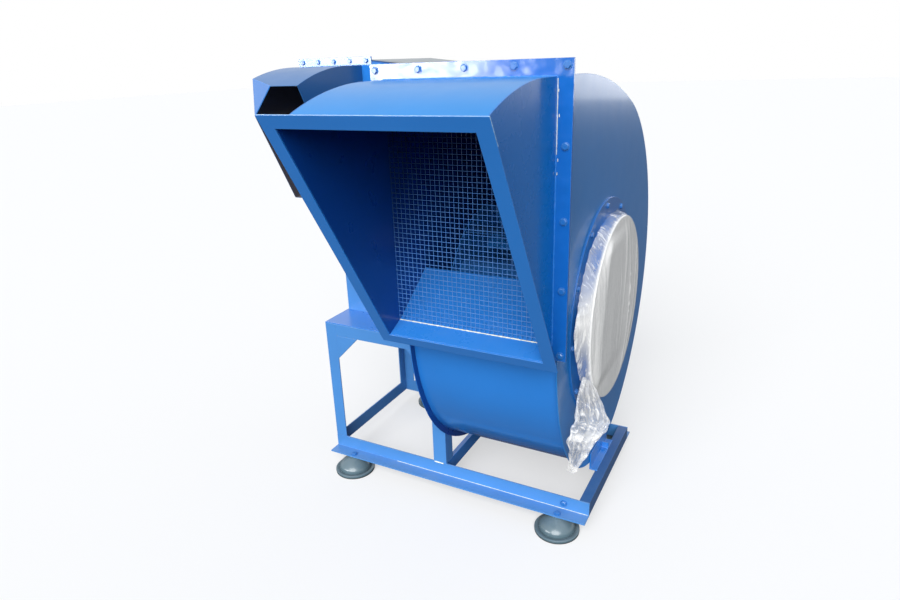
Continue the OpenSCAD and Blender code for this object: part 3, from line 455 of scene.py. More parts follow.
def whole_faces(node):
    """A copy of a node's mesh with its doubles merged and its flat faces made whole."""
    mesh = nodes[node].data.copy()
    mesh.materials.clear()
    shape = bmesh.new()
    shape.from_mesh(mesh)
    bmesh.ops.remove_doubles(shape, verts=shape.verts, dist=MERGE_WITHIN)
    bmesh.ops.dissolve_limit(shape, angle_limit=FLAT_ANGLE, verts=shape.verts,
                             edges=shape.edges)
    shape.to_mesh(mesh)
    shape.free()
    return mesh


def finish_piece(name, mesh, body, slot, material=None):
    """Links a mesh as a piece of the object, smooth but for its sharp edges."""
    mesh.name = name
    if not mesh.materials:
        mesh.materials.append(material or materials[slot])
    for face in mesh.polygons:
        face.use_smooth = True
    mesh.set_sharp_from_angle(angle=SMOOTH_ANGLE)
    piece = bpy.data.objects.new(name, mesh)
    bpy.context.scene.collection.objects.link(piece)
    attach(piece, body)
    return piece


def rounded(node, width):
    """Replaces a node by a copy whose outer edges are rounded."""
    piece = finish_piece("rounded_" + node, whole_faces(node), body_of[node], slot_of[node],
                         PAINTS.get(node))
    easing = piece.modifiers.new("easing", "BEVEL")
    easing.width = width
    easing.segments = 2
    easing.limit_method = "ANGLE"
    easing.angle_limit = EASED_ANGLE
    easing.harden_normals = True
    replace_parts(piece, node)


IRON_EASE, SHEET_EASE, PLATE_EASE = 1.5 * MM, 0.8 * MM, 1.2 * MM
IRONWORK = ["front_rail", "rear_rail", "left_rail", "right_rail", "mid_rail", "left_posts",
            "mid_posts", "front_beam", "rear_beam", "side_beams", "scroll_support", "mouth_frame",
            "outlet_flange", "hood_flange", "cowl_flanges", "bearing_stands", "inlet_ring"]
SHEETWORK = ["scroll_left_plate", "scroll_right_plate", "scroll_wrap", "outlet_floor",
             "hood_side_walls", "hood_top_sheet", "hood_floor", "cabinet_front", "cabinet_sides",
             "cabinet_back", "cabinet_roof", "cowl_neck", "cowl_shell", "cowl_corner_plate",
             "inlet_spigot", "inlet_cone"]
PLATEWORK = ["pedestal_gussets", "pedestal_deck", "motor_shelf", "impeller_backplate",
             "impeller_blades", "impeller_shroud"]
PAINTS = {
    "front_rail": sheen_lit_enamel, "rear_rail": sheen_lit_enamel, "left_rail": sheen_lit_enamel,
    "left_posts": sheen_lit_enamel, "mid_posts": sheen_lit_enamel, "front_beam": sheen_lit_enamel,
    "pedestal_gussets": sheen_lit_enamel, "cabinet_front": sheen_lit_enamel,
    "outlet_flange": flange_shade_enamel, "hood_flange": wrinkled_shade_enamel,
    "hood_side_walls": wall_enamel, "scroll_right_plate": side_enamel,
    "hood_top_sheet": hood_enamel, "cowl_shell": cowl_shade_enamel,
    "right_rail": shaded_enamel}
for names, ease in ((IRONWORK, IRON_EASE), (SHEETWORK, SHEET_EASE), (PLATEWORK, PLATE_EASE)):
    for node in names:
        rounded(node, ease)
print("rounded pieces:", len(IRONWORK + SHEETWORK + PLATEWORK))

# %% [markdown]
# The inside of the duct is painted a darker blue, which is painted shade, and the cowl is lined. Each
# face is tested by its place and its normal: one that looks toward the middle of the space gets the
# second material.

# %% Paint the insides darker
INWARD, COWL_INWARD = 0.2, 0.02


def box_middle(node):
    """The middle of a node's box."""
    return Vector([(low + high) / 2 for low, high in zip(*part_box(node))])


def paint_inside(node, looks_inward, coat=inside_shade_enamel):
    """Gives the faces that look inward a second material: by default the darker blue of painted shade.
    """
    mesh = bpy.data.objects["rounded_" + node].data
    mesh.materials.append(coat)
    inner = [face for face in mesh.polygons if looks_inward(face.center, face.normal)]
    for face in inner:
        face.material_index = 1
    print(node, "inner faces:", len(inner))


duct_x = box_middle("hood_side_walls").x
hub_place = box_middle("impeller_hub")
cowl_middle = box_middle("cowl_shell")
for node in ("hood_side_walls", "scroll_left_plate", "scroll_right_plate"):
    paint_inside(node, lambda c, n: n.x * (duct_x - c.x) > INWARD * abs(duct_x - c.x))
paint_inside("cowl_shell", lambda c, n: n.dot(cowl_middle - c) > COWL_INWARD, cowl_lining)
paint_inside("hood_top_sheet", lambda c, n: n.z < -INWARD)
paint_inside("scroll_wrap", lambda c, n: n.dot(hub_place - c) > INWARD * (hub_place - c).length)

# %% [markdown]
# The guard over the outlet is welded mesh: thin wires 15 mm apart, the level ones in front of the
# upright ones and a small weld at each crossing. It repeats, so Geometry Nodes draw it, and the
# bolts and weld beads too. These helpers build a tree, run it on a small seed mesh and keep what
# grows from it as a plain mesh.

# %% Helpers for geometry node trees
def geometry_tree(name, inputs):
    """An empty geometry tree with a geometry input and output: its tree, entry and input sockets."""
    tree = bpy.data.node_groups.new(name, "GeometryNodeTree")
    tree.interface.new_socket("Geometry", in_out="INPUT", socket_type="NodeSocketGeometry")
    sockets = {}
    for label, kind in inputs.items():
        sockets[label] = tree.interface.new_socket(label, in_out="INPUT", socket_type=kind)
    tree.interface.new_socket("Geometry", in_out="OUTPUT", socket_type="NodeSocketGeometry")
    return tree, tree.nodes.new("NodeGroupInput"), sockets


def joined(tree, parts):
    """Several geometries as one."""
    join = add(tree, "GeometryNodeJoinGeometry")
    for part in parts:
        tree.links.new(part, join.inputs[0])
    return join.outputs[0]


def close_tree(tree, parts, material):
    """Joins the parts, makes them real and gives them the material."""
    real = add(tree, "GeometryNodeRealizeInstances", {0: joined(tree, parts)})
    coat = add(tree, "GeometryNodeSetMaterial", {"Geometry": real.outputs[0],
                                                 "Material": material})
    add(tree, "NodeGroupOutput", {0: coat.outputs[0]})


def grown(name, seed_mesh, tree, sockets, values, body, slot):
    """Runs a geometry tree on a seed mesh and keeps the result as a plain piece."""
    seed = bpy.data.objects.new(name + "_seed", seed_mesh)
    bpy.context.scene.collection.objects.link(seed)
    modifier = seed.modifiers.new("grow", "NODES")
    modifier.node_group = tree
    for label, value in values.items():
        modifier[sockets[label].identifier] = value
    seen = seed.evaluated_get(bpy.context.evaluated_depsgraph_get())
    mesh = bpy.data.meshes.new_from_object(seen)
    bpy.data.objects.remove(seed)
    piece = finish_piece(name, mesh, body, slot)
    print(name, "faces:", len(mesh.polygons))
    return piece


def points_mesh(name, points, **attributes):
    """A mesh of loose points, with one named value or vector for each."""
    mesh = bpy.data.meshes.new(name)
    mesh.from_pydata([tuple(p) for p in points], [], [])
    for label, values in attributes.items():
        vector = hasattr(values[0], "__len__")
        field = mesh.attributes.new(label, "FLOAT_VECTOR" if vector else "FLOAT", "POINT")
        field.data.foreach_set("vector" if vector else "value",
                               [c for v in values for c in v] if vector else values)
    return mesh


print("a single seed point:", len(points_mesh("seed", [(0, 0, 0)]).vertices))

# %% [markdown]
# Toward its upper left the mesh can hardly be seen in the photograph, because the hood keeps the
# light off it there. The wires have a paint of their own that darkens that way: a slanting line
# crosses the mesh, and the colour falls to a small share of itself on the far side of it.

# %% Mix the paint of the wires
SHADE_REACH, SHADE_LEAST = 0.13, 0.12
SHADE_X_SHARE, SHADE_Z_SHARE = 0.323, 0.602
LIGHT_WAY = Vector((1, 0, -1)).normalized()
net_low, net_high = (Vector(corner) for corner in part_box("guard_mesh"))
net_w, net_h = net_high.x - net_low.x, net_high.z - net_low.z


def darken_away(material, start, way, reach, least):
    """Darkens a paint against a way, over a reach each side of a starting point."""
    tree = material.node_tree
    shader = tree.nodes["Principled BSDF"]
    painted = shader.inputs["Base Color"].links[0].from_socket
    offset = add(tree, "ShaderNodeVectorMath", {0: on_piece(tree), 1: start},
                 operation="SUBTRACT")
    along = add(tree, "ShaderNodeVectorMath", {0: offset.outputs[0], 1: way},
                operation="DOT_PRODUCT")
    share = add(tree, "ShaderNodeMapRange", {
        "Value": along.outputs["Value"], "From Min": -reach, "From Max": reach,
        "To Min": least, "To Max": 1.0}, interpolation_type="SMOOTHSTEP")
    # The colour is scaled down toward the upper left as painted shade.
    thin = add(tree, "ShaderNodeVectorMath", {0: painted, "Scale": share.outputs[0]},
               operation="SCALE")
    fill(tree, shader, {"Base Color": thin.outputs[0]})


wire_enamel = coated("wire_blue_enamel", (64, 120, 190), smooth=0.3, coat=0.1, specular=0.3)
shade_start = net_low + Vector((SHADE_X_SHARE * net_w, 0, SHADE_Z_SHARE * net_h))
darken_away(wire_enamel, shade_start, LIGHT_WAY, SHADE_REACH, SHADE_LEAST)
print("the wires' shade starts at", [round(c, 3) for c in shade_start])

# %% [markdown]
# Both families of wires come from one loop: a wire is swept along a line, and copied along a row
# of points across the mesh. The welds at the crossings are small flattened balls on a grid.

# %% Weave the guard mesh
WIRE_PITCH, WIRE_R = 15 * MM, 1.0 * MM
STEP_SHARE = 0.85
WELD_SHARES = (1.5, 1.1, 1.5)


def make_wire_net():
    """Upright wires behind level wires, over a width and a height, with a weld at each crossing."""
    tree, entry, sockets = geometry_tree("wire_net", {
        "Width": FLOAT, "Height": FLOAT, "Columns": "NodeSocketInt", "Rows": "NodeSocketInt",
        "Wire Radius": FLOAT})
    width, height, radius = (entry.outputs[k] for k in ("Width", "Height", "Wire Radius"))
    ring = add(tree, "GeometryNodeCurvePrimitiveCircle", {"Resolution": 6, "Radius": radius})
    families = []
    for spans, count, across in ((height, "Columns", width), (width, "Rows", height)):
        upright_wires = count == "Columns"
        end = add(tree, "ShaderNodeCombineXYZ", {"Z" if upright_wires else "X": spans})
        line = add(tree, "GeometryNodeCurvePrimitiveLine", {"End": end.outputs[0]})
        wire = add(tree, "GeometryNodeCurveToMesh", {0: line.outputs[0], 1: ring.outputs[0],
                                                     "Fill Caps": True})
        last = add(tree, "ShaderNodeCombineXYZ", {"X" if upright_wires else "Z": across})
        row = add(tree, "GeometryNodeMeshLine", {"Count": entry.outputs[count],
                                                 "Offset": last.outputs[0]}, mode="END_POINTS")
        back = calc(tree, "MULTIPLY", radius, STEP_SHARE if upright_wires else -STEP_SHARE)
        step = add(tree, "ShaderNodeCombineXYZ", {"Y": back})
        placed = add(tree, "GeometryNodeSetPosition", {"Geometry": row.outputs[0],
                                                       "Offset": step.outputs[0]})
        copies = add(tree, "GeometryNodeInstanceOnPoints", {"Points": placed.outputs[0],
                                                            "Instance": wire.outputs[0]})
        families.append(copies.outputs[0])
    grid = add(tree, "GeometryNodeMeshGrid", {"Size X": width, "Size Y": height,
                                              "Vertices X": entry.outputs["Columns"],
                                              "Vertices Y": entry.outputs["Rows"]})
    stood = add(tree, "GeometryNodeTransform", {"Geometry": grid.outputs[0],
                                                "Rotation": (math.radians(90), 0, 0)})
    half = add(tree, "ShaderNodeCombineXYZ", {"X": width, "Z": height})
    centre = add(tree, "ShaderNodeVectorMath", {0: half.outputs[0], "Scale": 0.5},
                 operation="SCALE")
    moved = add(tree, "GeometryNodeTransform", {"Geometry": stood.outputs[0],
                                                "Translation": centre.outputs[0]})
    blob = add(tree, "GeometryNodeMeshIcoSphere", {"Radius": radius, "Subdivisions": 1})
    fat = add(tree, "GeometryNodeTransform", {"Geometry": blob.outputs[0],
                                              "Scale": WELD_SHARES})
    welds = add(tree, "GeometryNodeInstanceOnPoints", {"Points": moved.outputs[0],
                                                       "Instance": fat.outputs[0]})
    close_tree(tree, families + [welds.outputs[0]], wire_enamel)
    return tree, sockets


net_tree, net_sockets = make_wire_net()
net = grown("guard_wires", points_mesh("net", [(0, 0, 0)]), net_tree, net_sockets,
            {"Width": net_w, "Height": net_h, "Columns": round(net_w / WIRE_PITCH) + 1,
             "Rows": round(net_h / WIRE_PITCH) + 1, "Wire Radius": WIRE_R},
            "chassis", "enamel")
net.data.transform(Matrix.Translation((net_low.x, (net_low.y + net_high.y) / 2, net_low.z)))
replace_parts(net, "guard_mesh")

# %% [markdown]
# The flanges, the inlet ring and the rails are held by hexagon bolts, painted over with the rest.
# Each has a washer, a chamfered head and, where it goes through, a nut on a stub of thread. The
# places, the directions and the sizes come from the bolts of the frame itself: each loose part of
# a bolt node gives one point, and Geometry Nodes put a bolt on it with a turn of its own.

# %% Find the loose parts of a node
def loose_parts(node):
    """The box of each separate solid in a node, as pairs of corners."""
    shape = bmesh.new()
    shape.from_mesh(whole_faces(node))
    shape.verts.ensure_lookup_table()
    seen, boxes = set(), []
    for start in shape.verts:
        if start in seen:
            continue
        part, front = {start}, [start]
        while front:
            vert = front.pop()
            for edge in vert.link_edges:
                other = edge.other_vert(vert)
                if other not in part:
                    part.add(other)
                    front.append(other)
        seen |= part
        corners = [v.co for v in part]
        boxes.append((Vector([min(c[i] for c in corners) for i in range(3)]),
                      Vector([max(c[i] for c in corners) for i in range(3)])))
    shape.free()
    return boxes


print("flange bolts:", len(loose_parts("flange_bolts")))

# %% [markdown]
# A bolt is drawn once, with all its sizes in thread diameters and its seat at the origin, so one
# attribute scales it and another turns it along its axis.

# %% Make the bolts
HEAD_PARTS = [
    ("Cylinder", {"Vertices": 28, "Radius": 1.12, "Depth": 0.14}, 0.07),
    ("Cylinder", {"Vertices": 6, "Radius": 0.94, "Depth": 0.40}, 0.32),
    ("Cone", {"Vertices": 6, "Radius Top": 0.76, "Radius Bottom": 0.94, "Depth": 0.12}, 0.52),
    ("Cylinder", {"Vertices": 16, "Radius": 0.42, "Depth": 0.05}, 0.645)]
NUT_PARTS = [
    ("Cylinder", {"Vertices": 6, "Radius": 0.94, "Depth": 0.62}, -0.33),
    ("Cylinder", {"Vertices": 16, "Radius": 0.48, "Depth": 0.76}, -0.38)]


def stacked(tree, parts):
    """Round and six-sided parts as one, each with its middle at its height."""
    shapes = []
    for kind, sizes, height in parts:
        shape = add(tree, "GeometryNodeMesh" + kind, sizes)
        moved = add(tree, "GeometryNodeTransform", {"Geometry": shape.outputs[0],
                                                    "Translation": (0, 0, height)})
        shapes.append(moved.outputs[0])
    return joined(tree, shapes)


def make_bolts():
    """A hexagon bolt with its washer, and a nut below the grip, on each point."""
    tree, entry, sockets = geometry_tree("hexagon_bolts", {"Grip": FLOAT, "Seed": "NodeSocketInt"})
    head = stacked(tree, HEAD_PARTS)
    down = calc(tree, "MULTIPLY", entry.outputs["Grip"], -1.0)
    below = add(tree, "ShaderNodeCombineXYZ", {"Z": down})
    nut = add(tree, "GeometryNodeTransform", {"Geometry": stacked(tree, NUT_PARTS),
                                              "Translation": below.outputs[0]})
    axis = add(tree, "GeometryNodeInputNamedAttribute", {"Name": "axis"},
               data_type="FLOAT_VECTOR")
    size = add(tree, "GeometryNodeInputNamedAttribute", {"Name": "thread"}, data_type="FLOAT")
    stand = add(tree, "FunctionNodeAlignRotationToVector", {"Vector": axis.outputs[0]}, axis="Z")
    angle = add(tree, "FunctionNodeRandomValue", {"Seed": entry.outputs["Seed"], 3: math.tau},
                data_type="FLOAT")
    spin = add(tree, "FunctionNodeAxisAngleToRotation", {"Angle": angle.outputs[1]})
    turned = add(tree, "FunctionNodeRotateRotation", {0: stand.outputs[0], 1: spin.outputs[0]},
                 rotation_space="LOCAL")
    copies = add(tree, "GeometryNodeInstanceOnPoints", {
        "Points": entry.outputs["Geometry"], "Instance": joined(tree, [head, nut.outputs[0]]),
        "Rotation": turned.outputs[0], "Scale": size.outputs[0]})
    close_tree(tree, [copies.outputs[0]], materials["enamel_deep"])
    return tree, sockets


bolt_tree, bolt_sockets = make_bolts()
BOLT_SEED = 7


def bolts(name, node, grip, face):
    """The bolts for a node: face gives a box's seat, axis and thread; grip is in diameters."""
    places, axes, sizes = zip(*(face(low, high) for low, high in loose_parts(node)))
    return grown(name, points_mesh(name, places, axis=axes, thread=sizes), bolt_tree,
                 bolt_sockets, {"Grip": grip, "Seed": BOLT_SEED}, "chassis", "enamel_deep")


HEAD_SHARE, STUD_HEAD_SHARE, CORNER_SHARE, TALL_SHARE = 0.65, 0.8, 1.9, 1.5


def front_face(low, high):
    """A bolt whose head looks forward."""
    diameter = max(high.z - low.z, high.x - low.x) / CORNER_SHARE
    centre = (low + high) / 2
    return (centre.x, low.y + HEAD_SHARE * diameter, centre.z), (0.0, -1.0, 0.0), diameter


def side_face(low, high):
    """A bolt whose head looks to the right."""
    diameter = max(high.z - low.z, high.y - low.y) / CORNER_SHARE
    centre = (low + high) / 2
    return (high.x - HEAD_SHARE * diameter, centre.y, centre.z), (1.0, 0.0, 0.0), diameter


def frame_face(low, high):
    """A nut on a foot stud looks up, and the rail's own bolt looks forward."""
    if high.z - low.z > TALL_SHARE * (high.y - low.y):
        diameter = (high.x - low.x) / CORNER_SHARE
        centre = (low + high) / 2
        return (centre.x, centre.y, high.z - STUD_HEAD_SHARE * diameter), (0.0, 0.0, 1.0), diameter
    return front_face(low, high)


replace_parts(bolts("flange_hexagons", "flange_bolts", 0.8, front_face), "flange_bolts")
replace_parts(bolts("ring_hexagons", "ring_bolts", 0.6, side_face), "ring_bolts")
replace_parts(bolts("frame_hexagons", "frame_bolts", 0.5, frame_face), "frame_bolts")

# %% [markdown]
# The joints are welded and then painted, so each shows as a low, rippled cord of blue in its
# corner. A weld follows a path, so it is swept along one: the path is cut to even steps, each
# step gets its own thickness, and a small round profile is swept through them.

# %% Sweep the weld beads
WELD_R, WELD_STEP, WELD_UNEVENNESS = 2.4 * MM, 3.5 * MM, 0.9 * MM
LUMP_SCALE, JITTER_SCALE = 90.0, 160.0
WELD_START = 2 * MM


def make_weld():
    """Sweeps a rippled bead along every edge path of the seed mesh."""
    tree, entry, sockets = geometry_tree("weld_bead", {"Radius": FLOAT, "Step": FLOAT,
                                                       "Unevenness": FLOAT})
    curve = add(tree, "GeometryNodeMeshToCurve", {0: entry.outputs["Geometry"]})
    cut = add(tree, "GeometryNodeResampleCurve", {"Curve": curve.outputs[0],
                                                  "Length": entry.outputs["Step"]}, mode="LENGTH")
    where = add(tree, "GeometryNodeInputPosition").outputs[0]
    swell = remapped(tree, clouds(tree, where, LUMP_SCALE), (0.3, 0.7), (0.55, 1.3))
    size = calc(tree, "MULTIPLY", swell, entry.outputs["Radius"])
    thick = add(tree, "GeometryNodeSetCurveRadius", {"Curve": cut.outputs[0], "Radius": size})
    ring = add(tree, "GeometryNodeCurvePrimitiveCircle", {"Resolution": 7, "Radius": 1.0})
    bead = add(tree, "GeometryNodeCurveToMesh", {0: thick.outputs[0], 1: ring.outputs[0],
                                                 "Scale": size, "Fill Caps": True})
    jitter = add(tree, "ShaderNodeTexNoise", {"Vector": where, "Scale": JITTER_SCALE})
    centred = add(tree, "ShaderNodeVectorMath", {0: jitter.outputs["Color"], 1: (0.5, 0.5, 0.5)},
                  operation="SUBTRACT")
    shift = add(tree, "ShaderNodeVectorMath", {0: centred.outputs[0],
                                               "Scale": entry.outputs["Unevenness"]},
                operation="SCALE")
    uneven = add(tree, "GeometryNodeSetPosition", {"Geometry": bead.outputs[0],
                                                   "Offset": shift.outputs[0]})
    close_tree(tree, [uneven.outputs[0]], materials["enamel"])
    return tree, sockets


weld_tree, weld_sockets = make_weld()


def paths_mesh(name, paths):
    """A mesh of open edge paths."""
    verts, edges = [], []
    for path in paths:
        first = len(verts)
        verts += [tuple(p) for p in path]
        edges += [(first + i, first + i + 1) for i in range(len(path) - 1)]
    mesh = bpy.data.meshes.new(name)
    mesh.from_pydata(verts, edges, [])
    return mesh


def weld(name, paths, radius=WELD_R, material=None, unevenness=WELD_UNEVENNESS):
    """One piece with a bead along each path."""
    piece = grown(name, paths_mesh(name, paths), weld_tree, weld_sockets,
                  {"Radius": radius, "Step": WELD_STEP, "Unevenness": unevenness}, "chassis",
                  "enamel")
    if material:
        piece.data.materials[0] = material


wall_low, wall_high = (Vector(c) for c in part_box("hood_side_walls"))
duct_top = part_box("hood_top_sheet")[1].z
duct_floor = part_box("outlet_floor")[0].z
y_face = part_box("hood_flange")[0].y
corners = [(x, y_face, duct_top) for x in (wall_low.x, wall_high.x)]
weld("hood_welds", [[(x, y, duct_floor + WELD_START), (x, y, z)] for x, y, z in corners] + [corners])

# %% [markdown]
# Some joints were stopped with pale filler instead, which stayed brighter than the enamel: along the
# foot of the mesh and at the foot of the post. Other pale lines are painted highlights, where the
# glossy paint glints: on the mouth's upper edge, in the front rail's crease and in a few dabs down the
# flange.

# %% Lay the filler and the painted glints
FOOT_INSET, MARK_LIFT = 4 * MM, 1 * MM
MOUTH_RUN, MOUTH_SETBACK = 0.07, 1.5 * MM
CREASE_INSET, CREASE_START, POST_RUN = 5.4 * MM, 0.3, 40 * MM
GLINT_TOP, GLINT_END, GLINT_OFF, DAB_OFF, DAB_STEP, DAB_RUN = 0.005, 0.19, 2, 4, 3, 7 * MM
DABS = [(0.03, 0.0), (0.09, 1.0), (0.2, 0.5), (0.235, 0.0)]
front_y = y_face - MARK_LIFT
weld("mesh_foot_weld", [[(wall_low.x + FOOT_INSET, front_y, duct_floor + FOOT_INSET),
                         (wall_high.x - FOOT_INSET, front_y, duct_floor + FOOT_INSET)]],
     1.8 * MM, filler_and_glint, 1.6 * MM)

mouth_low, mouth_high = (Vector(c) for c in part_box("mouth_frame"))
lean = math.atan2(mouth_high.y - mouth_low.y, mouth_high.z - mouth_low.z)
down_mouth = Vector((0, math.sin(lean), -math.cos(lean)))
corner_left = Vector((mouth_low.x, mouth_low.y + MARK_LIFT, mouth_high.z - MOUTH_SETBACK))
corner_right = Vector((mouth_high.x, corner_left.y, corner_left.z))
# The line along the mouth's upper edge is a painted highlight.
weld("mouth_edge_line", [[corner_left, corner_right, corner_right + MOUTH_RUN * down_mouth]],
     0.6 * MM, edge_glint, 0.1 * MM)

rail_low, rail_high = (Vector(c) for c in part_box("front_rail"))
crease_y, crease_z = rail_high.y - CREASE_INSET, rail_low.z + CREASE_INSET
# The line in the rail's crease is a painted highlight.
weld("rail_crease_line", [[(rail_low.x + CREASE_START, crease_y, crease_z),
                           (rail_high.x - FOOT_INSET, crease_y, crease_z)]],
     0.9 * MM, filler_and_glint, 0.2 * MM)
post_low = Vector(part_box("mid_posts")[0])
post_x, post_y = post_low.x + FOOT_INSET, crease_y - MARK_LIFT
weld("post_foot_weld", [[(post_x, post_y, post_low.z),
                         (post_x + POST_RUN, post_y, post_low.z - MARK_LIFT)]],
     2.2 * MM, filler_and_glint)


def flange_drop(off, top, end):
    """A painted glint down the flange, a few millimetres off the wall."""
    return [(wall_high.x + off * MM, front_y, duct_top - down) for down in (top, end)]


# The line and dabs down the flange are painted highlights.
weld("flange_glints", [flange_drop(GLINT_OFF, GLINT_TOP, GLINT_END)] + [
    flange_drop(DAB_OFF + DAB_STEP * across, down, down + DAB_RUN) for down, across in DABS],
    1.3 * MM, filler_and_glint)

# %% [markdown]
# The machine feet are pressed steel domes over a thick rubber ring. Dome and flange wear the same
# grey-green paint, a deep groove parts them, and the rubber shows only as a dark edge on the
# floor. Each is turned on a lathe: one outline, spun round the foot's own axis.

# %% Turn the machine feet
LATHE_STEPS = 72
DOME_LAP = 2 * MM
DOME_SHARES = [(0.80, 0.0), (0.815, 0.05), (0.815, 0.16), (0.80, 0.27), (0.76, 0.38),
               (0.69, 0.50), (0.60, 0.62), (0.49, 0.73), (0.37, 0.83), (0.27, 0.90),
               (0.26, 1.0), (0.12, 1.0)]
FLANGE_SHARES = [(0.76, 0.86), (0.80, 0.80), (0.84, 0.86), (0.88, 0.95), (0.93, 1.0),
                 (0.975, 0.97), (0.998, 0.86), (1.0, 0.6), (0.995, 0.36)]
RUBBER_SHARES = [(0.995, 0.36), (0.985, 0.30), (0.99, 0.12), (0.97, 0.0), (0.3, 0.0),
                 (0.3, 0.5), (0.76, 0.5), (0.76, 0.86)]


def lathe(name, centres, radius, base, height, shares, slot):
    """The outline in shares of radius and height, spun round every centre."""
    verts, quads = [], []
    count = len(shares)
    for x, y in centres:
        first = len(verts)
        for step in range(LATHE_STEPS):
            turn = math.tau * step / LATHE_STEPS
            for across, up in shares:
                verts.append((x + radius * across * math.cos(turn),
                              y + radius * across * math.sin(turn), base + height * up))
        for step in range(LATHE_STEPS):
            here, there = first + step * count, first + (step + 1) % LATHE_STEPS * count
            for k in range(count - 1):
                quads.append((here + k, there + k, there + k + 1, here + k + 1))
    mesh = bpy.data.meshes.new(name)
    mesh.from_pydata(verts, [], quads)
    shape = bmesh.new()
    shape.from_mesh(mesh)
    bmesh.ops.recalc_face_normals(shape, faces=shape.faces)
    shape.to_mesh(mesh)
    shape.free()
    return finish_piece(name, mesh, "chassis", slot)


pads = loose_parts("foot_pads")
centres = [((low.x + high.x) / 2, (low.y + high.y) / 2) for low, high in pads]
pad_r, pad_h = (pads[0][1].x - pads[0][0].x) / 2, pads[0][1].z
dome_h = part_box("foot_domes")[1][2] - pad_h
domes = lathe("pressed_domes", centres, pad_r, pad_h - DOME_LAP, dome_h + DOME_LAP, DOME_SHARES,
              "foot_paint")
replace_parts(domes, "foot_domes")
lathe("foot_flanges", centres, pad_r, 0, pad_h, FLANGE_SHARES, "foot_paint")
rubber = lathe("foot_rubbers", centres, pad_r, 0, pad_h, RUBBER_SHARES, "rubber")
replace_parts(rubber, "foot_pads")
print("feet:", len(centres))

# %% [markdown]
# The inlet is closed against dust with thin polythene. It is pulled flat over the spigot, folds
# back round the rim in a loose skirt, and is drawn together at the lower front into a knot, below
# which the rest of the bag hangs. Every point is set by its angle and its distance, and smooth
# noise adds the folds. The attribute sheer runs from 0 for clear to 1 for white, since the film
# looks white where it lies in layers and clear where it is single.

# %% Make the polythene
CREASE_STRETCH = (1.0, 2.4, 0.5)


def make_polythene():
    """Thin film: its attribute sheer gives the opacity, fine creases catch the light, and a faint
    white glow lightens it as painted light.
    """
    material, tree, shader = new_material("thin_polythene")
    place = on_piece(tree)
    drawn = add(tree, "ShaderNodeVectorMath", {0: place, 1: CREASE_STRETCH}, operation="MULTIPLY")
    crease = clouds(tree, drawn.outputs[0], 34.0, 5.0, Roughness=0.62, Distortion=1.2)
    fine = clouds(tree, place, 120.0, 3.0, Distortion=2.0)
    streak = remapped(tree, crease, (0.52, 0.66), (0.0, 0.5))
    sheer = add(tree, "ShaderNodeAttribute", attribute_name="sheer").outputs["Fac"]
    alpha = add(tree, "ShaderNodeMath", {0: sheer, 1: streak}, operation="ADD", use_clamp=True)
    height = calc(tree, "MULTIPLY_ADD", crease, 2.0, fine)
    relief = add(tree, "ShaderNodeBump", {"Height": height, "Strength": 0.8, "Distance": 0.0022})
    # The faint white emission is painted light: it keeps the film pale on its shaded side.
    fill(tree, shader, {
        "Alpha": alpha.outputs[0], "Normal": relief.outputs[0],
        "Base Color": linear(248, 247, 244), "Emission Color": WHITE, "Emission Strength": 0.1,
        "Roughness": 0.16, "Coat Weight": 0.6, "Coat Roughness": 0.08})
    return material


polythene = make_polythene()


def sheet_mesh(name, rows, sheer):
    """A mesh of rows of points, each row joined to its own start, with its attribute sheer."""
    count = len(rows[0])
    quads = []
    for i in range(len(rows) - 1):
        for j in range(count):
            k = (j + 1) % count
            quads.append((i * count + j, (i + 1) * count + j, (i + 1) * count + k, i * count + k))
    mesh = bpy.data.meshes.new(name)
    mesh.from_pydata([tuple(p) for row in rows for p in row], [], quads)
    field = mesh.attributes.new("sheer", "FLOAT", "POINT")
    field.data.foreach_set("value", [value for row in sheer for value in row])
    mesh.materials.append(polythene)
    return mesh


def eased(value):
    """From 0 to 1 and level at both ends."""
    value = min(max(value, 0.0), 1.0)
    return value * value * (3 - 2 * value)


def hump(value, centre, width):
    """1 at the centre, and falling away over the width."""
    return math.exp(-((value - centre) / width) ** 2)


def ripple(x, y, z=0.0):
    """Smooth noise from -1 to 1."""
    return noise.noise(Vector((x, y, z)))


print("polythene nodes:", len(polythene.node_tree.nodes))

# %% [markdown]
# The cover is built of rows that run round. They cross the disc from its middle to the rim, where
# it is held flat, and go on over the rim into the skirt, which flares where it is loose and is
# drawn to the knot along one stretch. Heights of folds are in millimetres, turns in radians.

# %% Stretch the film over the inlet
AROUND, DISC_ROWS, SKIRT_ROWS = 288, 38, 22
RIM = 4 * MM
KNOT_BACK, KNOT_Y_SHARE, KNOT_Z_SHARE = 2 * MM, 0.875, 0.52
TENT, FOLD, TIGHT, SLACK = 12, 4.5, 1.8, 1.0
FLARE, LOOSE, CLOUD, PLEAT, BUNCH, CRINKLE, TUCK = 12, 52, 14, 3.5, 14, 2.5, 5
PLEATS = 58
LOOSE_TURN, BUNCH_TURN, LAYERED_TURN = 3.35, 0.33, 2.95
LOOSE_WIDTH, BUNCH_WIDTH, LAYERED_WIDTH, TIED_WIDTH = 0.95, 0.1, 0.42, 0.62

film_low, film_high = (Vector(c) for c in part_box("inlet_film"))
film_y, film_z = (film_low.y + film_high.y) / 2, (film_low.z + film_high.z) / 2
film_r = (film_high.z - film_low.z) / 2
knot = Vector(((film_low.x + film_high.x) / 2 - KNOT_BACK, film_y - KNOT_Y_SHARE * film_r,
               film_z - KNOT_Z_SHARE * film_r))
knot_turn = math.atan2(knot.z - film_z, knot.y - film_y)


def near_turn(turn, centre, width):
    """1 at one angle round the rim, and falling away on both sides of it."""
    return hump(math.remainder(turn - centre, math.tau), 0, width)


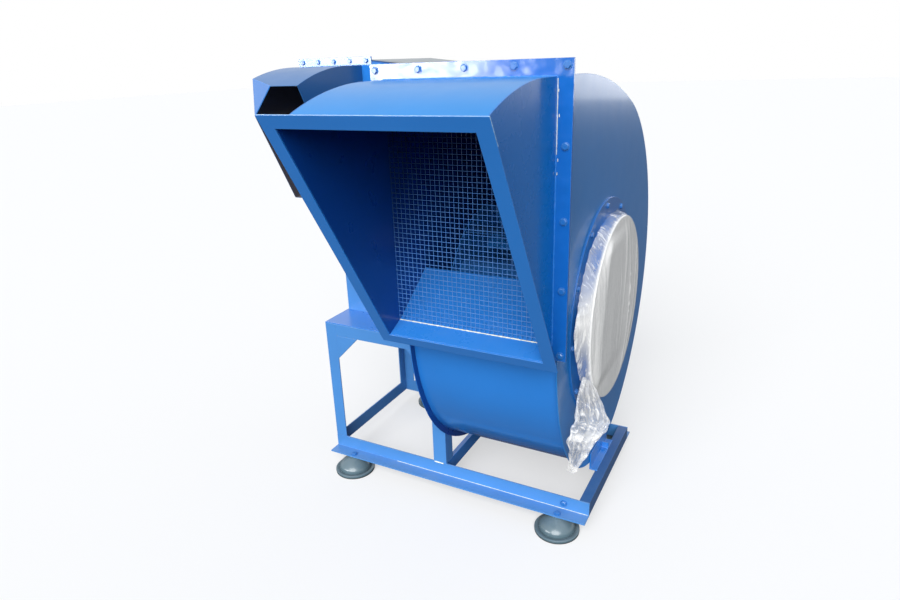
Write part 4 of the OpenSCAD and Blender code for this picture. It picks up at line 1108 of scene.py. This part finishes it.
def disc_fold(y, z):
    """How far the cover stands proud: a taut ridge at the left, long folds at the right."""
    edge = math.sqrt(max(film_r ** 2 - z * z, 0.0))
    ridge_y = -0.21 + 0.14 * z + 0.35 * z * z
    if y < ridge_y:
        tent = eased((y + edge) / max(ridge_y + edge, 0.01)) ** 0.8
    else:
        tent = max(1 - (y - ridge_y) / max(edge - ridge_y, 0.01), 0.0) ** 1.5
    tall = eased((edge + ridge_y) / 0.06)
    side = eased((y + 0.04) / 0.16)
    bend = y + 0.06 * (z / film_r) ** 2 * (1 if y > 0 else 0)
    folds = max(1 - abs(ripple(bend * 17, z * 1.8, 1.7)) * 4, 0.0) ** 2
    crease = folds * (0.5 + 0.5 * ripple(y * 9, z * 5, 4.0))
    tight = max(1 - abs(ripple(y * 30, z * 3, 6.0)) * 4, 0.0) * eased((ridge_y - y) / 0.02)
    slack = ripple(y * 7, z * 4, 9.0)
    return (TENT * tent * tall + FOLD * side * crease + TIGHT * tight + SLACK * slack) * MM


def disc_row(share):
    """A row round the disc: its points, and how white the film is at each."""
    r = (film_r - RIM) * share
    hold = eased((1 - share) / 0.06)
    row, white = [], []
    for j in range(AROUND):
        turn = math.tau * j / AROUND
        y, z = r * math.cos(turn), r * math.sin(turn)
        row.append(Vector((film_high.x + disc_fold(y, z) * hold, film_y + y, film_z + z)))
        white.append(0.97 - 0.1 * max(ripple(y * 8, z * 3, 2.0), 0.0))
    return row, white


def skirt_row(share):
    """A row round the skirt: its points, and how white the film is at each."""
    roll = min(share / 0.2, 1.0) * math.pi / 2
    back = eased((share - 0.15) / 0.85)
    thin = eased((share - 0.08) / 0.4)
    row, white = [], []
    for j in range(AROUND):
        turn = math.tau * j / AROUND
        c, sn = math.cos(turn), math.sin(turn)
        off = math.remainder(turn - knot_turn, math.tau)
        cloud = ripple(c * 3.1, sn * 3.1, share * 1.5)
        pleats = math.sin(PLEATS * turn + 3 * math.sin(7 * turn) + 2 * cloud)
        spread = near_turn(turn, LOOSE_TURN, LOOSE_WIDTH)
        out = (FLARE + LOOSE * spread + CLOUD * cloud + PLEAT * pleats) * back * MM
        out += BUNCH * MM * near_turn(turn, BUNCH_TURN, BUNCH_WIDTH) * back
        out += CRINKLE * MM * ripple(c * 24, sn * 24, share * 4) * back
        r = film_r - RIM + RIM * math.sin(roll) + out
        depth = RIM * (1 - math.cos(roll)) + back * (film_high.x - film_low.x - RIM)
        depth -= TUCK * MM * back * max(ripple(c * 5, sn * 5, 7.0), 0.0)
        spot = Vector((film_high.x - depth, film_y + r * c, film_z + r * sn))
        pull = eased(1 - abs(off) / TIED_WIDTH) * share ** 1.4
        tie = knot + Vector((2.5 * MM * math.sin(9 * off), 9 * MM * off, 0))
        row.append(spot.lerp(tie, 0.97 * pull))
        layered = near_turn(turn, LAYERED_TURN, LAYERED_WIDTH)
        white.append(0.92 - thin * (0.76 - 0.55 * layered) + 0.3 * cloud * thin)
    return row, white


pairs = [disc_row(i / DISC_ROWS) for i in range(DISC_ROWS + 1)]
pairs += [skirt_row(i / SKIRT_ROWS) for i in range(1, SKIRT_ROWS + 1)]
rows, sheer = zip(*pairs)
cover = finish_piece("film_cover", sheet_mesh("film_cover", rows, sheer), "film", "film")
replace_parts(cover, "inlet_film")
print("cover faces:", len(cover.data.polygons))

# %% [markdown]
# Below the knot the rest of the bag hangs as two layers that meet at its edges. Each edge is a line of
# ten stations in millimetres. Eight of the twenty are points of the 900 by 600 picture, put in place
# along the camera's own sight lines, and the others are listed.

# %% Hang the tail of the bag
TAIL_AROUND, TAIL_ROWS = 72, 120
TAIL_PLEATS, TAIL_PLEAT_SHARE, TAIL_THICK_SHARE = 11, 0.3, 0.16
CRUMPLE, SAG, WALL_GAP = 9, 6, 1 * MM
X, Y = 0, 1
TAIL_X = 948
RIGHT_CORNER_PX, UNDER_CORNER_PX, RIGHT_FOLD_PX = (605, 421), (599.5, 430), (589, 440)
LEFT_CORNER_PX = (564.5, 439)
LEFT_TAPER_PX, RIGHT_TAPER_PX = ((565, 448), (567, 458)), ((586, 448), (580, 458))


def seen_at(point, axis, value):
    """Where the sight line through a picture point meets a plane, to a whole millimetre."""
    across = (point[0] - PHOTO_W / 2) / FOCAL_PX
    down = (point[1] - PHOTO_H / 2) / FOCAL_PX
    ray = forward + across * rightward - down * upward
    reach = (value - CAMERA_PLACE[axis] / MM) / ray[axis]
    return tuple(round(c) for c in CAMERA_PLACE / MM + reach * ray)


TAIL_EDGES = [
    ((950, 12, 622), (972, 52, 585)), ((948, -28, 600), (975, 64, 560)),
    ((948, -68, 550), (1000, 70, 485)), ((948, -68, 505), seen_at(RIGHT_CORNER_PX, Y, 70)),
    ((948, -112, 492), seen_at(UNDER_CORNER_PX, Y, 50)),
    (seen_at(LEFT_CORNER_PX, X, TAIL_X), seen_at(RIGHT_FOLD_PX, Y, 10)),
    (seen_at(LEFT_TAPER_PX[0], X, TAIL_X), seen_at(RIGHT_TAPER_PX[0], Y, -10)),
    (seen_at(LEFT_TAPER_PX[1], X, TAIL_X), seen_at(RIGHT_TAPER_PX[1], Y, -30)),
    ((948, -98, 345), (955, -55, 312)), ((948, -92, 325), (951, -66, 304))]


def between(at, side):
    """A place along one edge of the tail, straight from one station to the next."""
    spot = min(max(at, 0.0), 1.0) * (len(TAIL_EDGES) - 1)
    step = min(int(spot), len(TAIL_EDGES) - 2)
    low, high = (Vector(TAIL_EDGES[k][side]) * MM for k in (step, step + 1))
    return low.lerp(high, spot - step)


def tail_row(share):
    """A row round the tail: its points, and how white the film is at each."""
    left, right = between(share, 0), between(share, 1)
    across = (right - left) / 2
    half = across.length
    outward = Vector((1, 0, 0)) - across * (across.x / half ** 2)
    outward.normalize()
    row, white = [], []
    for j in range(TAIL_AROUND):
        turn = math.tau * j / TAIL_AROUND
        c, sn = math.cos(turn), math.sin(turn)
        pleat = 1 + TAIL_PLEAT_SHARE * math.sin(TAIL_PLEATS * turn + 6 * share) * eased(share * 3)
        thick = (TAIL_THICK_SHARE * half + 2 * MM) * pleat
        crumple = ripple(c * 2.2 + 5, share * 11, sn * 2.2) * CRUMPLE * MM * eased(share * 4)
        spot = (left + right) / 2 + across * c + outward * (thick * sn + crumple + thick)
        spot.z += SAG * MM * ripple(c * 3, share * 5, 3.0) * eased(share * 6)
        spot.x = max(spot.x, film_low.x + WALL_GAP)
        row.append(spot)
        layered = hump(share, 0.02, 0.1) * 0.3 + hump(share, 0.52, 0.05) * 0.25
        white.append(0.2 + layered + 0.22 * ripple(c * 4, share * 14, sn * 4))
    return row, white


rows, sheer = zip(*(tail_row(i / TAIL_ROWS) for i in range(TAIL_ROWS + 1)))
tail = finish_piece("film_bag", sheet_mesh("film_bag", rows, sheer), "film", "film")
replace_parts(tail, "film_tail")
print("tail stations:", len(TAIL_EDGES), "faces:", len(tail.data.polygons))
